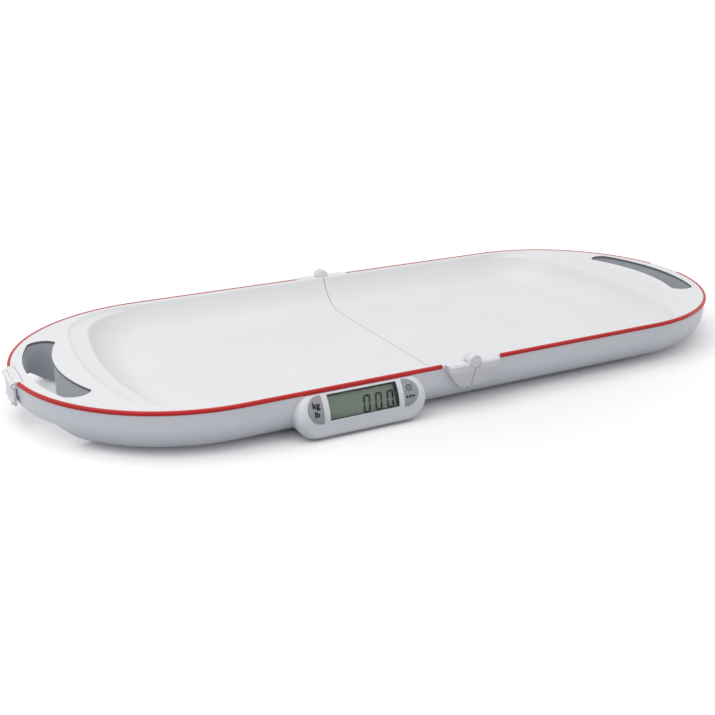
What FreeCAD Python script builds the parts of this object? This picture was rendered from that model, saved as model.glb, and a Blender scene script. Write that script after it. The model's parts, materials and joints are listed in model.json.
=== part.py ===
import FreeCAD, Part
import math
import os

from FreeCAD import Vector

# Folding baby scale. X runs along the tray, -Y is the front, +Z is up, millimetres.
# The origin is the middle of the fold line, on the surface that the feet stand on.

# ---- overall sizes
TRAY_LENGTH = 770.0
TRAY_WIDTH = 320.0
FOOT_LIFT = 3.0          # lower shell above the table
TRIM_BOTTOM = 40.1
TRIM_HEIGHT = 3.8
TRIM_WIDTH = 2.8
DECK_TOP = TRIM_BOTTOM + 3.3
SEAM_GAP = 0.8           # between the two halves, unfolded
TOUCH = 0.1              # between neighbours that don't move

# ---- walls
DECK_THICK = 2.5
TRAY_WALL = 2.4
SHELL_WALL = 2.4
SHELL_DRAFT = math.radians(4.0)
BILGE_RADIUS = 25.0
SKIRT_THICK = 2.1
SKIRT_DEPTH = 6.0
SKIRT_INSET = 3.9        # skirt inside the widest line of the tray

# ---- tray recess
FLOOR_TOP = 12.0
RECESS_SIDE = 5.5        # recess wall inside the widest line of the tray
RECESS_END = 80.4        # recess wall inside the end of the tray
RECESS_CORNER = 66.0
RECESS_BOW = 460.0       # radius of the bowed end walls
RECESS_BLEND = 42.5      # radius between floor and walls
RECESS_LIP = 3.0         # rounding between deck and recess
# soft shoulder round the ends of the recess: reach past the wall, depth below the deck
SHOULDER = (
    (0.0, 8.9), (0.95, 7.2), (2.3, 5.8), (4.9, 5.0),
    (9.9, 4.6), (14.9, 3.4), (20.4, 1.2), (24.9, 0.0),
)
SHOULDER_CORNER = 0.6    # how much of that reach the corner radius takes up

# ---- red trim in the rim
TRIM_TOP_ROUND = 1.4
TRIM_LOW_ROUND = 1.1
TRIM_GAP_HINGE = 32.0    # half of the gap at each hinge
TRIM_GAP_END = 23.0      # half of the gap at each end

# ---- hand slots
SLOT_OUTER = 14.0        # grip bar at the middle of the slot
SLOT_OUTER_BOW = 180.0
SLOT_INNER = 41.0        # tray side of the slot, from the end of the tray
SLOT_INNER_BOW = 170.0
SLOT_HALF = 74.0         # half width where the outer edge turns
SLOT_HORN = 69.0         # half width at the horns
SLOT_BULGE = 79.0        # half width of the rounded ends
SLOT_SETBACK = 0.5       # liner behind the deck's edge
LINER_WALL = 1.4
COLLAR_WALL = 2.0
SCOOP_FOOT = SLOT_INNER + 7.1    # finger arch: where its slope meets the table
SCOOP_SLOPE = math.radians(37.6)
SCOOP_TOP = 20.0
SCOOP_ROUND = 5.0

# ---- ribs, bulkheads and screws
RIB_THICK = 1.6
RIB_START = 40.0
RIB_PITCH_X = 60.0
RIB_PITCH_Y = 54.0
BULKHEAD = 2.4
BOWL_CLEAR = 0.3         # between the bowl and what stands below it
SCREW_RADIUS = 1.25
SCREW_LENGTH = 8.0
SCREW_HEAD = 2.8
SCREW_HEAD_HEIGHT = 1.8
SCREW_SEAT = 8.0         # height of the face that the head pulls against
BOSS_RADIUS = 3.2
BOSS_FOOT = 11.0         # where tray boss and shell boss meet
SHELL_BOSS = 4.6
SCREW_FIT = 0.05
SCREW_CLEAR = 0.3
SCREW_SEAM = 20.0        # first pair, from the fold line
SCREW_POD = 24.0         # second pair, past the end of the pod
SCREW_SIDE = 23.0        # both pairs, from the side of the tray
SCREW_END = 59.0         # third pair, from the end of the tray
SCREW_END_Y = 30.0

# ---- feet and load cells
CELL_END = 82.0          # from the end of the tray
CELL_SIDE = 68.0         # from the side of the tray
CELL_PLATE = 28.0
CELL_THICK = 2.2
CELL_Z = 7.0
CELL_SLOT = 2.0
CELL_TONGUE = 9.0
CELL_SEAT_WALL = 2.0
CELL_FIT = 0.2
FOOT_RADIUS = 11.6
FOOT_HEIGHT = 4.4
FOOT_STEM = 7.0
FOOT_EDGE = 0.8
FOOT_CLEAR = 0.9

# ---- hinges
HINGE_Z = DECK_TOP + 0.8
KNUCKLE_RADIUS = 6.5
KNUCKLE_ROUND = 1.2
KNUCKLE_CLEAR = 0.9
KNUCKLE_GAP = 0.3        # between knuckles along the pin
KNUCKLE_INNER = (-4.6, -2.0)   # from the widest line of the tray, inwards is minus
KNUCKLE_MIDDLE = (-1.7, 2.3)
KNUCKLE_OUTER = (2.6, 6.6)
PIN_RADIUS = 2.0
PIN_REACH = (-4.2, 5.0)
PIN_FIT = 0.05
BRACKET_HALF = 28.0
BRACKET_REACH = 6.0      # outwards past the widest line of the tray
BRACKET_IN = 3.0         # and inwards
BRACKET_BOTTOM = 17.5
BRACKET_ROUND = 1.3

# ---- latch at the left end, catch at the right end
LATCH_OUT = 1.0          # pivot past the end of the tray
LATCH_Z = DECK_TOP - 3.8
LATCH_EAR_IN = 16.0
LATCH_EAR_OUT = 21.0
LATCH_BARREL = 2.8       # radius of the barrel and of the two ears
LATCH_ROOM = 0.25
LATCH_PIN = 1.3
LATCH_FLAP = (-1.6, 0.8)     # from the pivot, outwards is plus
LATCH_FLAP_HALF = 20.5
LATCH_FLAP_LOW = 20.0
LATCH_CORNER = 4.0
LATCH_TOOTH = 1.8
LATCH_TOOTH_Z = (20.4, 23.2)
LATCH_TOOTH_HALF = 15.0
MOUNT_INSET = 7.3
MOUNT_FRONT = 1.6
MOUNT_ROUND = 0.8
MOUNT_LOW = 30.0
MOUNT_SEAM = 0.5         # dark line between mount and deck
CATCH_HALF = 22.5
CATCH_LOW = 26.0
CATCH_GAP = 0.3
CATCH_WALL = 3.4

# ---- display pod on the front of the left half
POD_X = -117.0
POD_HALF = 64.0
POD_END_RADIUS = 22.0
POD_Z = 21.5             # height of the pod's end centres
POD_TOP = TRIM_BOTTOM - 0.1
POD_BACK = 29.0          # back of the pod, inside the widest line of the tray
POD_REACH = 11.2         # front of the pod, outside that line
POD_WALL = 2.2
POD_BLEND = 7.0
FACE_RADIUS = 31.1       # the curved face
FACE_Z = 17.0            # height of the face's axis

# ---- display
WINDOW_LEFT = 34.1
WINDOW_RIGHT = 34.4
WINDOW_TOP = 1.5         # along the face, from its top edge
WINDOW_LOW = 25.4
LENS_DEPTH = 0.8
LENS_THICK = 1.4
LENS_SEAT = 1.5
LENS_SEAT_TOP = 0.6
BUTTON_RADIUS = 12.5
BUTTON_FLAT = 2.4
BUTTON_X = WINDOW_RIGHT + 5.2 + BUTTON_FLAT
BUTTON_DOWN = BUTTON_RADIUS + 1.3    # along the face, from its top edge
BUTTON_PROUD = 0.4
BUTTON_CLEAR = 0.25
BUTTON_TRAVEL = 0.8
FLANGE = 1.0
FLANGE_GAP = 0.4
PLUNGER_GAP = 0.2        # left over when a button is pressed
LCD_HALF = 36.5
LCD_HIGH = 12.0
LCD_FRONT = FACE_RADIUS - 5.5        # distances from the face's axis
LCD_THICK = 2.0
BOARD_FRONT = FACE_RADIUS - 9.2
BOARD_THICK = 1.6
BOARD_HALF = 52.0
BOARD_LOW = -12.0
BOARD_HIGH = 9.5
POST_X = POD_HALF - 5.8
POST_RADIUS = 2.2
BOARD_EAR = POST_X + 1.8
BOARD_EAR_HALF = 3.6
SWITCH_SIDE = 6.0
SWITCH_HEIGHT = 3.2
CHIP_SIDE = 12.0
CHIP_THICK = 1.4

# ---- battery compartment
BATTERY_RADIUS = 5.25
BATTERY_LENGTH = 44.5
BATTERY_NUB = 0.8
BATTERY_FRONT = 1.5 + 1.6 * (BATTERY_RADIUS - 5.25)    # front cell inside the widest line
BATTERY_BACK = BATTERY_FRONT + 2 * BATTERY_RADIUS + 1.5
BATTERY_Z = FOOT_LIFT + POD_WALL + BATTERY_RADIUS + 0.75
BAY_HALF = BATTERY_LENGTH / 2 + 6.35
BAY_WALL = 1.4
BAY_TOP = 13.2
CONTACT_THICK = 0.4
COVER_HALF = BAY_HALF - 0.6
COVER_FRONT = 6.0        # outside the widest line of the tray
COVER_BACK = BATTERY_BACK + BATTERY_RADIUS + 0.95    # inside that line
COVER_GAP = 0.3
COVER_HINGE_GAP = 1.0
COVER_AXIS_IN = COVER_BACK - 0.3
TAB_HALF = 4.0
TAB_X = 18.0
TAB_THICK = 1.0
TAB_REACH = 2.0

END_RADIUS = TRAY_WIDTH / 2
STRAIGHT = TRAY_LENGTH / 2 - END_RADIUS
SHELL_RHO = END_RADIUS - 0.8
CHANNEL_RHO = END_RADIUS - TRIM_WIDTH
RIM_RHO = END_RADIUS - 0.4
SHELL_FLOOR = FOOT_LIFT + SHELL_WALL
TRIM_TOP = TRIM_BOTTOM + TRIM_HEIGHT
TALL = 120.0


def box(x0, x1, y0, y1, z0, z1):
    return Part.makeBox(x1 - x0, y1 - y0, z1 - z0, Vector(x0, y0, z0))


def cylinder(start, axis, radius, length):
    return Part.makeCylinder(radius, length, Vector(*start), Vector(*axis))


def arc(a, b, c):
    return Part.Arc(Vector(*a), Vector(*b), Vector(*c)).toShape()


def line(a, b):
    return Part.makeLine(Vector(*a), Vector(*b))


def prism(edges, travel):
    return Part.Face(Part.Wire(edges)).extrude(Vector(*travel))


def fuse(shapes):
    first = shapes[0]
    if len(shapes) == 1:
        return first
    return first.multiFuse(shapes[1:]).removeSplitter()


def cut(shape, tools):
    return shape.cut(tools).removeSplitter() if tools else shape


def mirror_x(shape):
    return shape.mirror(Vector(0, 0, 0), Vector(1, 0, 0))


def mirror_y(shape):
    return shape.mirror(Vector(0, 0, 0), Vector(0, 1, 0))


def half(side, gap=SEAM_GAP):
    """Everything on one side of the seam: side is -1 for left, 1 for right."""
    near = side * gap / 2
    far = side * TRAY_LENGTH
    return box(min(near, far), max(near, far), -TRAY_LENGTH, TRAY_LENGTH, -TALL, TALL)


def stadium(rho, z0, z1):
    """A slab whose outline is rho away from the spine of the tray."""
    edges = [
        line((-STRAIGHT, -rho, z0), (STRAIGHT, -rho, z0)),
        arc((STRAIGHT, -rho, z0), (STRAIGHT + rho, 0, z0), (STRAIGHT, rho, z0)),
        line((STRAIGHT, rho, z0), (-STRAIGHT, rho, z0)),
        arc((-STRAIGHT, rho, z0), (-STRAIGHT - rho, 0, z0), (-STRAIGHT, -rho, z0)),
    ]
    return prism(edges, (0, 0, z1 - z0))


def ring(inner, outer, z0, z1):
    return stadium(outer, z0, z1).cut(stadium(inner, z0 - 1, z1 + 1))


def shell_section(inset, top):
    """Points (rho, z) down one side of the lower shell: top, draft end, arc middle, bottom."""
    radius = BILGE_RADIUS - inset
    centre_z = FOOT_LIFT + BILGE_RADIUS
    normal = (math.cos(SHELL_DRAFT), -math.sin(SHELL_DRAFT))
    reach = (BILGE_RADIUS - (TRIM_BOTTOM - centre_z) * normal[1]) / normal[0]
    centre = (SHELL_RHO - reach, centre_z)
    turn = (centre[0] + radius * normal[0], centre[1] + radius * normal[1])
    middle_angle = (-SHELL_DRAFT - math.pi / 2) / 2
    middle = (
        centre[0] + radius * math.cos(middle_angle),
        centre[1] + radius * math.sin(middle_angle),
    )
    bottom = (centre[0], centre[1] - radius)
    start = (turn[0] + (top - turn[1]) * math.tan(SHELL_DRAFT), top)
    return start, turn, middle, bottom


def shell_body(inset, top):
    """The solid inside the lower shell's outer face, moved in by inset, up to a height."""
    start, turn, middle, bottom = shell_section(inset, top)

    def at(x, sign, point):
        return (x, sign * point[0], point[1])

    x = -STRAIGHT
    edges = [
        line(at(x, 1, start), at(x, 1, turn)),
        arc(at(x, 1, turn), at(x, 1, middle), at(x, 1, bottom)),
        line(at(x, 1, bottom), at(x, -1, bottom)),
        arc(at(x, -1, bottom), at(x, -1, middle), at(x, -1, turn)),
        line(at(x, -1, turn), at(x, -1, start)),
        line(at(x, -1, start), at(x, 1, start)),
    ]
    straight = prism(edges, (2 * STRAIGHT, 0, 0))
    ends = []
    for sign in (-1, 1):
        x = sign * STRAIGHT
        edges = [
            line(at(x, -1, start), at(x, -1, turn)),
            arc(at(x, -1, turn), at(x, -1, middle), at(x, -1, bottom)),
            line(at(x, -1, bottom), (x, 0, bottom[1])),
            line((x, 0, bottom[1]), (x, 0, top)),
            line((x, 0, top), at(x, -1, start)),
        ]
        face = Part.Face(Part.Wire(edges))
        ends.append(face.revolve(Vector(x, 0, 0), Vector(0, 0, sign), 180))
    return fuse([straight] + ends)


def recess_outline(side, end, corner, bow, z):
    """A closed outline around the middle: straight sides, bowed ends, round corners."""
    bow_x = end - bow
    corner_y = side - corner
    corner_x = bow_x + math.sqrt((bow - corner) ** 2 - corner_y**2)
    reach = math.hypot(corner_x - bow_x, corner_y)
    join = (bow_x + bow * (corner_x - bow_x) / reach, bow * corner_y / reach)
    half_turn = math.atan2(join[1] - corner_y, join[0] - corner_x)
    middle_angle = (half_turn + math.pi / 2) / 2
    middle = (
        corner_x + corner * math.cos(middle_angle),
        corner_y + corner * math.sin(middle_angle),
    )

    def bend(sx, sy):
        points = [(sx * x, sy * y, z) for x, y in (join, middle, (corner_x, side))]
        return arc(*points) if sx * sy > 0 else arc(*reversed(points))

    edges = []
    for sign in (1, -1):
        edges.append(arc(
            (sign * join[0], -sign * join[1], z), (sign * end, 0, z), (sign * join[0], sign * join[1], z)))
        edges.append(bend(sign, sign))
        edges.append(line((sign * corner_x, sign * side, z), (-sign * corner_x, sign * side, z)))
        edges.append(bend(-sign, sign))
    return Part.Wire(edges)


def wall_lean(z, offset):
    """How far the wall of the recess, grown by offset, stands inside its widest line at z."""
    radius = RECESS_BLEND + offset
    rise = FLOOR_TOP + RECESS_BLEND - z
    return radius - math.sqrt(radius**2 - rise**2)


def shoulder_outline(offset, reach, depth, shrink=0.0):
    """The outline of the recess at one depth of the shoulder, grown by offset."""
    grow = offset - shrink
    z = DECK_TOP - depth - offset
    lean = wall_lean(z, offset)
    root = wall_lean(DECK_TOP - SHOULDER[0][1] - offset, offset)
    return recess_outline(
        END_RADIUS - RECESS_SIDE - lean + grow,
        TRAY_LENGTH / 2 - RECESS_END - root + reach + grow,
        RECESS_CORNER - lean + SHOULDER_CORNER * reach + grow,
        RECESS_BOW - root + reach + grow,
        z - 0.2 * shrink)


def bowl(offset):
    """The hollow of the tray without the shoulder at its ends, grown by offset."""
    floor_z = FLOOR_TOP - offset
    wire = recess_outline(
        END_RADIUS - RECESS_SIDE + offset, TRAY_LENGTH / 2 - RECESS_END + offset,
        RECESS_CORNER + offset, RECESS_BOW + offset, floor_z)
    solid = Part.Face(wire).extrude(Vector(0, 0, TALL))
    floor_edges = [e for e in solid.Edges if abs(e.BoundBox.ZMax - floor_z) < 1e-6]
    return solid.makeFillet(RECESS_BLEND + offset, floor_edges)


def recess(offset=0.0):
    """The hollow of the tray over both halves, grown by offset on every side."""
    low_top = DECK_TOP - SHOULDER[0][1] - offset
    low = bowl(offset).common(box(-TRAY_LENGTH, TRAY_LENGTH, -TRAY_WIDTH, TRAY_WIDTH, -TALL, low_top))
    shoulder = Part.makeLoft([shoulder_outline(offset, *step) for step in SHOULDER], True, False)
    top = Part.Face(shoulder_outline(offset, *SHOULDER[-1], shrink=0.25)).extrude(Vector(0, 0, TALL))
    return low.multiFuse([shoulder, top])


def slot_outline(z):
    """The crescent hand slot of the right end as a wire: both horns point to the tray."""
    end = TRAY_LENGTH / 2

    def sag(radius, y):
        return radius - math.sqrt(radius**2 - y**2)

    inner = end - SLOT_INNER
    outer = end - SLOT_OUTER
    horn = (inner - sag(SLOT_INNER_BOW, SLOT_HORN), SLOT_HORN)
    turn = (outer - sag(SLOT_OUTER_BOW, SLOT_HALF), SLOT_HALF)
    bulge = ((horn[0] + turn[0]) / 2, SLOT_BULGE)
    edges = [
        arc((horn[0], -horn[1], z), (inner, 0, z), (horn[0], horn[1], z)),
        arc((horn[0], horn[1], z), (bulge[0], bulge[1], z), (turn[0], turn[1], z)),
        arc((turn[0], turn[1], z), (outer, 0, z), (turn[0], -turn[1], z)),
        arc((turn[0], -turn[1], z), (bulge[0], -bulge[1], z), (horn[0], -horn[1], z)),
    ]
    return Part.Wire(edges)


def slot(offset, z0, z1, side):
    """The hand slot as a prism, its outline grown by offset."""
    wire = slot_outline(z0)
    if offset:
        wire = wire.makeOffset2D(offset)
    solid = Part.Face(wire).extrude(Vector(0, 0, z1 - z0))
    return solid if side > 0 else mirror_x(solid)


def scoop(side, grow=0.0):
    """The finger arch under the grip bar: a slope up from the tray and a level roof."""
    foot = TRAY_LENGTH / 2 - SCOOP_FOOT
    slope = math.tan(SCOOP_SLOPE)
    lift = grow / math.cos(SCOOP_SLOPE)
    low, top = -10.0, SCOOP_TOP + grow
    bend = foot + (top - lift) / slope
    y = -TRAY_WIDTH
    outline = [(foot + (low - lift) / slope, low), (bend, top), (TRAY_LENGTH, top), (TRAY_LENGTH, low)]
    points = [(x, y, z) for x, z in outline]
    edges = [line(a, b) for a, b in zip(points, points[1:] + points[:1])]
    solid = prism(edges, (0, 2 * TRAY_WIDTH, 0))
    knee = [e for e in solid.Edges if all(abs(p.x - bend) + abs(p.z - top) < 1e-4 for p in on_edge(e))]
    solid = solid.makeFillet(SCOOP_ROUND + grow, knee)
    return solid if side > 0 else mirror_x(solid)


def rho_of(point):
    """Distance from the spine of the tray, seen from above."""
    return math.hypot(max(abs(point.x) - STRAIGHT, 0.0), point.y)


def on_edge(edge):
    first, last = edge.FirstParameter, edge.LastParameter
    return [edge.valueAt(first + (last - first) * t) for t in (0.1, 0.5, 0.9)]


def flat_edges(solid, z, inside):
    """Edges of a solid that lie at height z within a distance of the spine."""
    found = []
    for edge in solid.Edges:
        points = on_edge(edge)
        if all(abs(p.z - z) < 1e-4 and rho_of(p) < inside for p in points):
            found.append(edge)
    return found


# ---- screws: one place for each, used by shells, trays and screws alike

def screw_places(side):
    seam = SCREW_SEAM
    shoulder = abs(POD_X) + POD_HALF + SCREW_POD
    end = TRAY_LENGTH / 2 - SCREW_END
    y = TRAY_WIDTH / 2 - SCREW_SIDE
    places = [(seam, y), (seam, -y), (shoulder, y), (shoulder, -y)]
    places += [(end, SCREW_END_Y), (end, -SCREW_END_Y)]
    return [(side * x, y) for x, y in places]


def cell_places(side):
    x = side * (TRAY_LENGTH / 2 - CELL_END)
    y = TRAY_WIDTH / 2 - CELL_SIDE
    return {"front": (x, -y), "rear": (x, y)}


# ---- hinges, worked out at the rear and mirrored to the front

def knuckle_span(span):
    return END_RADIUS + span[0], END_RADIUS + span[1]


def rod(radius, span, x=0.0, z=HINGE_Z):
    y0, y1 = knuckle_span(span)
    return cylinder((x, y0, z), (0, 1, 0), radius, y1 - y0)


def bracket_block(side, grow=0.0):
    """The body of one rear hinge bracket, from the edge of the bowl out through the rim."""
    top = DECK_TOP
    outer = END_RADIUS + BRACKET_REACH + grow
    low = BRACKET_BOTTOM - grow
    inner = END_RADIUS - BRACKET_IN - grow
    near = SEAM_GAP / 2 - grow
    far = BRACKET_HALF + grow
    x = 0.0
    section = [
        (x, inner, low), (x, outer - 5.7 - BRACKET_ROUND, low), (x, outer - 5.5, low + BRACKET_ROUND),
        (x, outer, top - 7.4), (x, outer, top - 1.9), (x, outer - 1.5, top), (x, inner, top),
    ]
    edges = [line(a, b) for a, b in zip(section, section[1:] + section[:1])]
    side_view = prism(edges, (far, 0, 0))
    y = inner - 1.0
    lift = top - 4.4
    outline = [
        line((near, y, top), (far, y, top)),
        line((far, y, top), (far * 0.965, y, lift)),
        arc((far * 0.965, y, lift), (far * 0.72, y, low + 9.3), (far * 0.29, y, low)),
        line((far * 0.29, y, low), (near, y, low)),
        line((near, y, low), (near, y, top)),
    ]
    block = side_view.common(prism(outline, (0, outer - y + 1.0, 0)))
    return block if side > 0 else mirror_x(block)


def hinge_bracket(side):
    """Left brackets carry the inner and outer knuckles, right brackets the middle one."""
    own = [KNUCKLE_INNER, KNUCKLE_OUTER] if side < 0 else [KNUCKLE_MIDDLE]
    other = [KNUCKLE_MIDDLE] if side < 0 else [KNUCKLE_INNER, KNUCKLE_OUTER]
    block = bracket_block(side)
    reliefs = []
    for span in other:
        wide = (span[0] - KNUCKLE_GAP, span[1] + KNUCKLE_GAP)
        reliefs.append(rod(KNUCKLE_RADIUS + KNUCKLE_CLEAR, wide))
    knuckles = [rod(KNUCKLE_RADIUS, span) for span in own]
    if side < 0:
        face = END_RADIUS + KNUCKLE_OUTER[1]
        rim = [e for e in knuckles[1].Edges if all(abs(p.y - face) < 1e-4 for p in on_edge(e))]
        knuckles[1] = knuckles[1].makeFillet(KNUCKLE_ROUND, rim)
    body = fuse([cut(block, reliefs)] + knuckles)
    bore = PIN_RADIUS if side < 0 else PIN_RADIUS + PIN_FIT
    return cut(body, [rod(bore, PIN_REACH)])


def hinge_cutters():
    """What the trays, shells and rim leave free for both halves of each hinge."""
    blocks = [bracket_block(s, TOUCH) for s in (-1, 1)]
    reach = (KNUCKLE_INNER[0] - 0.2, BRACKET_REACH + 2.0)
    tools = blocks + [rod(KNUCKLE_RADIUS + KNUCKLE_CLEAR, reach)]
    return tools + [mirror_y(tool) for tool in tools]


# ---- latch mount and catch

def end_x(inset):
    return TRAY_LENGTH / 2 - inset


def mount_cutter(gap):
    low = MOUNT_LOW - gap
    half_width = LATCH_EAR_OUT + gap
    return box(-TRAY_LENGTH, -end_x(MOUNT_INSET) + gap, -half_width, half_width, low, TALL)


def catch_cutter(gap):
    half_width = CATCH_HALF + gap
    return box(end_x(MOUNT_INSET) - gap, TRAY_LENGTH, -half_width, half_width, CATCH_LOW - gap, TALL)


def latch_mount():
    """The block set into the rim: a rounded hood over the barrel and an ear at each end of it."""
    pivot = -end_x(-LATCH_OUT)
    inner, front, nose = -end_x(MOUNT_INSET), -end_x(MOUNT_FRONT), -end_x(0)
    y = -LATCH_EAR_OUT
    r = MOUNT_ROUND
    k = r - r * math.sqrt(0.5)
    under = LATCH_Z + LATCH_BARREL - 0.4
    points = [(nose, y, DECK_TOP - r), (nose, y, under), (front, y, under), (front, y, MOUNT_LOW),
              (inner, y, MOUNT_LOW), (inner, y, DECK_TOP), (nose + r, y, DECK_TOP)]
    edges = [line(a, b) for a, b in zip(points, points[1:])]
    edges.append(arc(points[-1], (nose + k, y, DECK_TOP - k), points[0]))
    block = prism(edges, (0, 2 * LATCH_EAR_OUT, 0))
    ears = []
    for y in (-LATCH_EAR_OUT, LATCH_EAR_IN):
        width = LATCH_EAR_OUT - LATCH_EAR_IN
        ears.append(cylinder((pivot, y, LATCH_Z), (0, 1, 0), LATCH_BARREL, width))
        ears.append(box(pivot, front + 0.5, y, y + width, LATCH_Z - LATCH_BARREL, LATCH_Z + LATCH_BARREL))
    body = fuse([block] + ears)
    room = LATCH_BARREL + LATCH_ROOM
    barrel_room = cylinder((pivot, -LATCH_EAR_IN, LATCH_Z), (0, 1, 0), room, 2 * LATCH_EAR_IN)
    pin = cylinder((pivot, -LATCH_EAR_OUT, LATCH_Z), (0, 1, 0), LATCH_PIN, 2 * LATCH_EAR_OUT)
    return cut(body, [barrel_room, pin])


def latch_pin():
    pivot = -end_x(-LATCH_OUT)
    reach = LATCH_EAR_OUT - 0.4
    return cylinder((pivot, -reach, LATCH_Z), (0, 1, 0), LATCH_PIN, 2 * reach)


def latch_lever():
    """A flap that hangs from its barrel, with a tooth along its free edge."""
    pivot = -end_x(-LATCH_OUT)
    half_barrel = LATCH_EAR_IN - KNUCKLE_GAP
    flap_top = LATCH_Z - LATCH_BARREL - 0.4
    barrel = cylinder((pivot, -half_barrel, LATCH_Z), (0, 1, 0), LATCH_BARREL, 2 * half_barrel)
    out, near = pivot - LATCH_FLAP[1], pivot - LATCH_FLAP[0]
    neck = box(out, near, -half_barrel, half_barrel, flap_top - 0.5, LATCH_Z)
    flap = box(out, near, -LATCH_FLAP_HALF, LATCH_FLAP_HALF, LATCH_FLAP_LOW, flap_top)
    ends = [e for e in flap.Edges if e.BoundBox.XLength > near - out - 0.1]
    flap = flap.makeFillet(LATCH_CORNER, [e for e in ends if e.BoundBox.ZMax < flap_top - 2])
    z0, z1 = LATCH_TOOTH_Z
    y = -LATCH_TOOTH_HALF
    tip = out - LATCH_TOOTH
    points = [(out + 0.5, y, z0), (out - LATCH_TOOTH * 0.6, y, z0), (tip, y, z0 + 1.0),
              (tip, y, z1), (out + 0.5, y, z1)]
    tooth = prism([line(a, b) for a, b in zip(points, points[1:] + points[:1])], (0, 2 * LATCH_TOOTH_HALF, 0))
    body = fuse([barrel, neck, flap, tooth])
    bore = cylinder((pivot, -half_barrel - 1, LATCH_Z), (0, 1, 0), LATCH_PIN + PIN_FIT, 2 * half_barrel + 2)
    return cut(body, [bore])


def latch_catch():
    """The block at the right end with the groove that the lever's tooth drops into."""
    inner = end_x(MOUNT_INSET)
    block = box(inner, TRAY_LENGTH, -CATCH_HALF, CATCH_HALF, CATCH_LOW, DECK_TOP)
    block = block.common(stadium(END_RADIUS, 0, TALL))
    over = 2 * (HINGE_Z - LATCH_Z)      # a height on the hanging lever, as it meets the catch
    z0, z1 = LATCH_TOOTH_Z[0] + over - CATCH_GAP, LATCH_TOOTH_Z[1] + over + CATCH_GAP
    half_groove = CATCH_HALF - 2.0
    groove = box(inner + CATCH_WALL, TRAY_LENGTH, -half_groove, half_groove, z0, z1)
    low_lip = box(end_x(0.6), TRAY_LENGTH, -TALL, TALL, 0, z0 + 0.01)
    return cut(block, [groove, low_lip])


# ---- tray halves

def tray_whole():
    """Deck, bowl and skirt over both halves, before the seam and the slots are cut."""
    deck_low = DECK_TOP - DECK_THICK
    skirt_inner = END_RADIUS - SKIRT_INSET - SKIRT_THICK
    skirt_outer = END_RADIUS - SKIRT_INSET
    slab = stadium(CHANNEL_RHO, deck_low, DECK_TOP)
    under = box(-TRAY_LENGTH, TRAY_LENGTH, -TRAY_WIDTH, TRAY_WIDTH, -TALL, DECK_TOP)
    outer = recess(TRAY_WALL).common(under)
    body = cut(fuse([slab, outer]), [recess()])
    body = body.makeFillet(RECESS_LIP, flat_edges(body, DECK_TOP, CHANNEL_RHO - 1.0))
    low_limit = stadium(skirt_outer, -TALL, TALL)
    high_limit = stadium(CHANNEL_RHO, TRIM_BOTTOM + TOUCH, TALL)
    body = body.common(fuse([low_limit, high_limit]))
    joint = deck_low + 0.2
    edge = ring(skirt_inner, CHANNEL_RHO, TRIM_BOTTOM + TOUCH, joint)
    skirt = ring(skirt_inner, skirt_outer, deck_low - SKIRT_DEPTH, joint)
    return fuse([body, edge, skirt])


def rim_bands():
    """The white rim where the red trim stops: beside the hinges and at both ends."""
    band = ring(CHANNEL_RHO - 0.5, RIM_RHO, TRIM_BOTTOM + TOUCH, DECK_TOP)
    beside = TRIM_GAP_HINGE - TOUCH
    across = TRIM_GAP_END - TOUCH
    gaps = box(-beside, beside, -TRAY_WIDTH, TRAY_WIDTH, 0, TALL)
    ends = box(-TRAY_LENGTH, TRAY_LENGTH, -across, across, 0, TALL)
    return [band.common(gaps), band.common(ends)]


def tray_bosses(side):
    bosses = []
    pilots = []
    for x, y in screw_places(side):
        start = (x, y, BOSS_FOOT)
        bosses.append(cylinder(start, (0, 0, 1), BOSS_RADIUS, DECK_TOP - 1.0 - BOSS_FOOT))
        depth = SCREW_SEAT + SCREW_LENGTH - BOSS_FOOT + 0.5
        pilots.append(cylinder(start, (0, 0, 1), SCREW_RADIUS + SCREW_FIT, depth))
    room = recess(TRAY_WALL / 2)
    return [boss.cut(room) for boss in bosses], pilots


def tray(side, whole, cutters):
    bosses, pilots = tray_bosses(side)
    body = fuse([whole.common(half(side))] + [b.common(half(side)) for b in rim_bands()] + bosses)
    tools = list(cutters) + pilots + [slot(0.0, 0, TALL, side)]
    tools.append(mount_cutter(MOUNT_SEAM) if side < 0 else catch_cutter(TOUCH))
    return cut(body, tools)


# ---- red trim

def trim_section():
    """Outline (rho, z) of the trim: square inside, rounded outside."""
    inner = CHANNEL_RHO + TOUCH
    low = TRIM_BOTTOM + TOUCH
    k = math.sqrt(0.5)
    a, b = TRIM_LOW_ROUND, TRIM_TOP_ROUND
    return [
        ("line", (inner, low), (END_RADIUS - a, low)),
        ("arc", (END_RADIUS - a, low), (END_RADIUS - a + a * k, low + a - a * k), (END_RADIUS, low + a)),
        ("line", (END_RADIUS, low + a), (END_RADIUS, TRIM_TOP - b)),
        ("arc", (END_RADIUS, TRIM_TOP - b), (END_RADIUS - b + b * k, TRIM_TOP - b + b * k),
         (END_RADIUS - b, TRIM_TOP)),
        ("line", (END_RADIUS - b, TRIM_TOP), (inner, TRIM_TOP)),
        ("line", (inner, TRIM_TOP), (inner, low)),
    ]


def trim():
    """One trim strip in the +X +Y quarter: straight run and quarter turn."""
    edges = []
    for kind, *points in trim_section():
        placed = [(STRAIGHT, rho, z) for rho, z in points]
        edges.append(line(*placed) if kind == "line" else arc(*placed))
    face = Part.Face(Part.Wire(edges))
    run = face.extrude(Vector(TRIM_GAP_HINGE - STRAIGHT, 0, 0))
    turn = face.revolve(Vector(STRAIGHT, 0, 0), Vector(0, 0, 1), -90)
    body = fuse([run, turn])
    return cut(body, [box(0, TRAY_LENGTH, -TALL, TRIM_GAP_END, 0, TALL)])


# ---- grip liners

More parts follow.
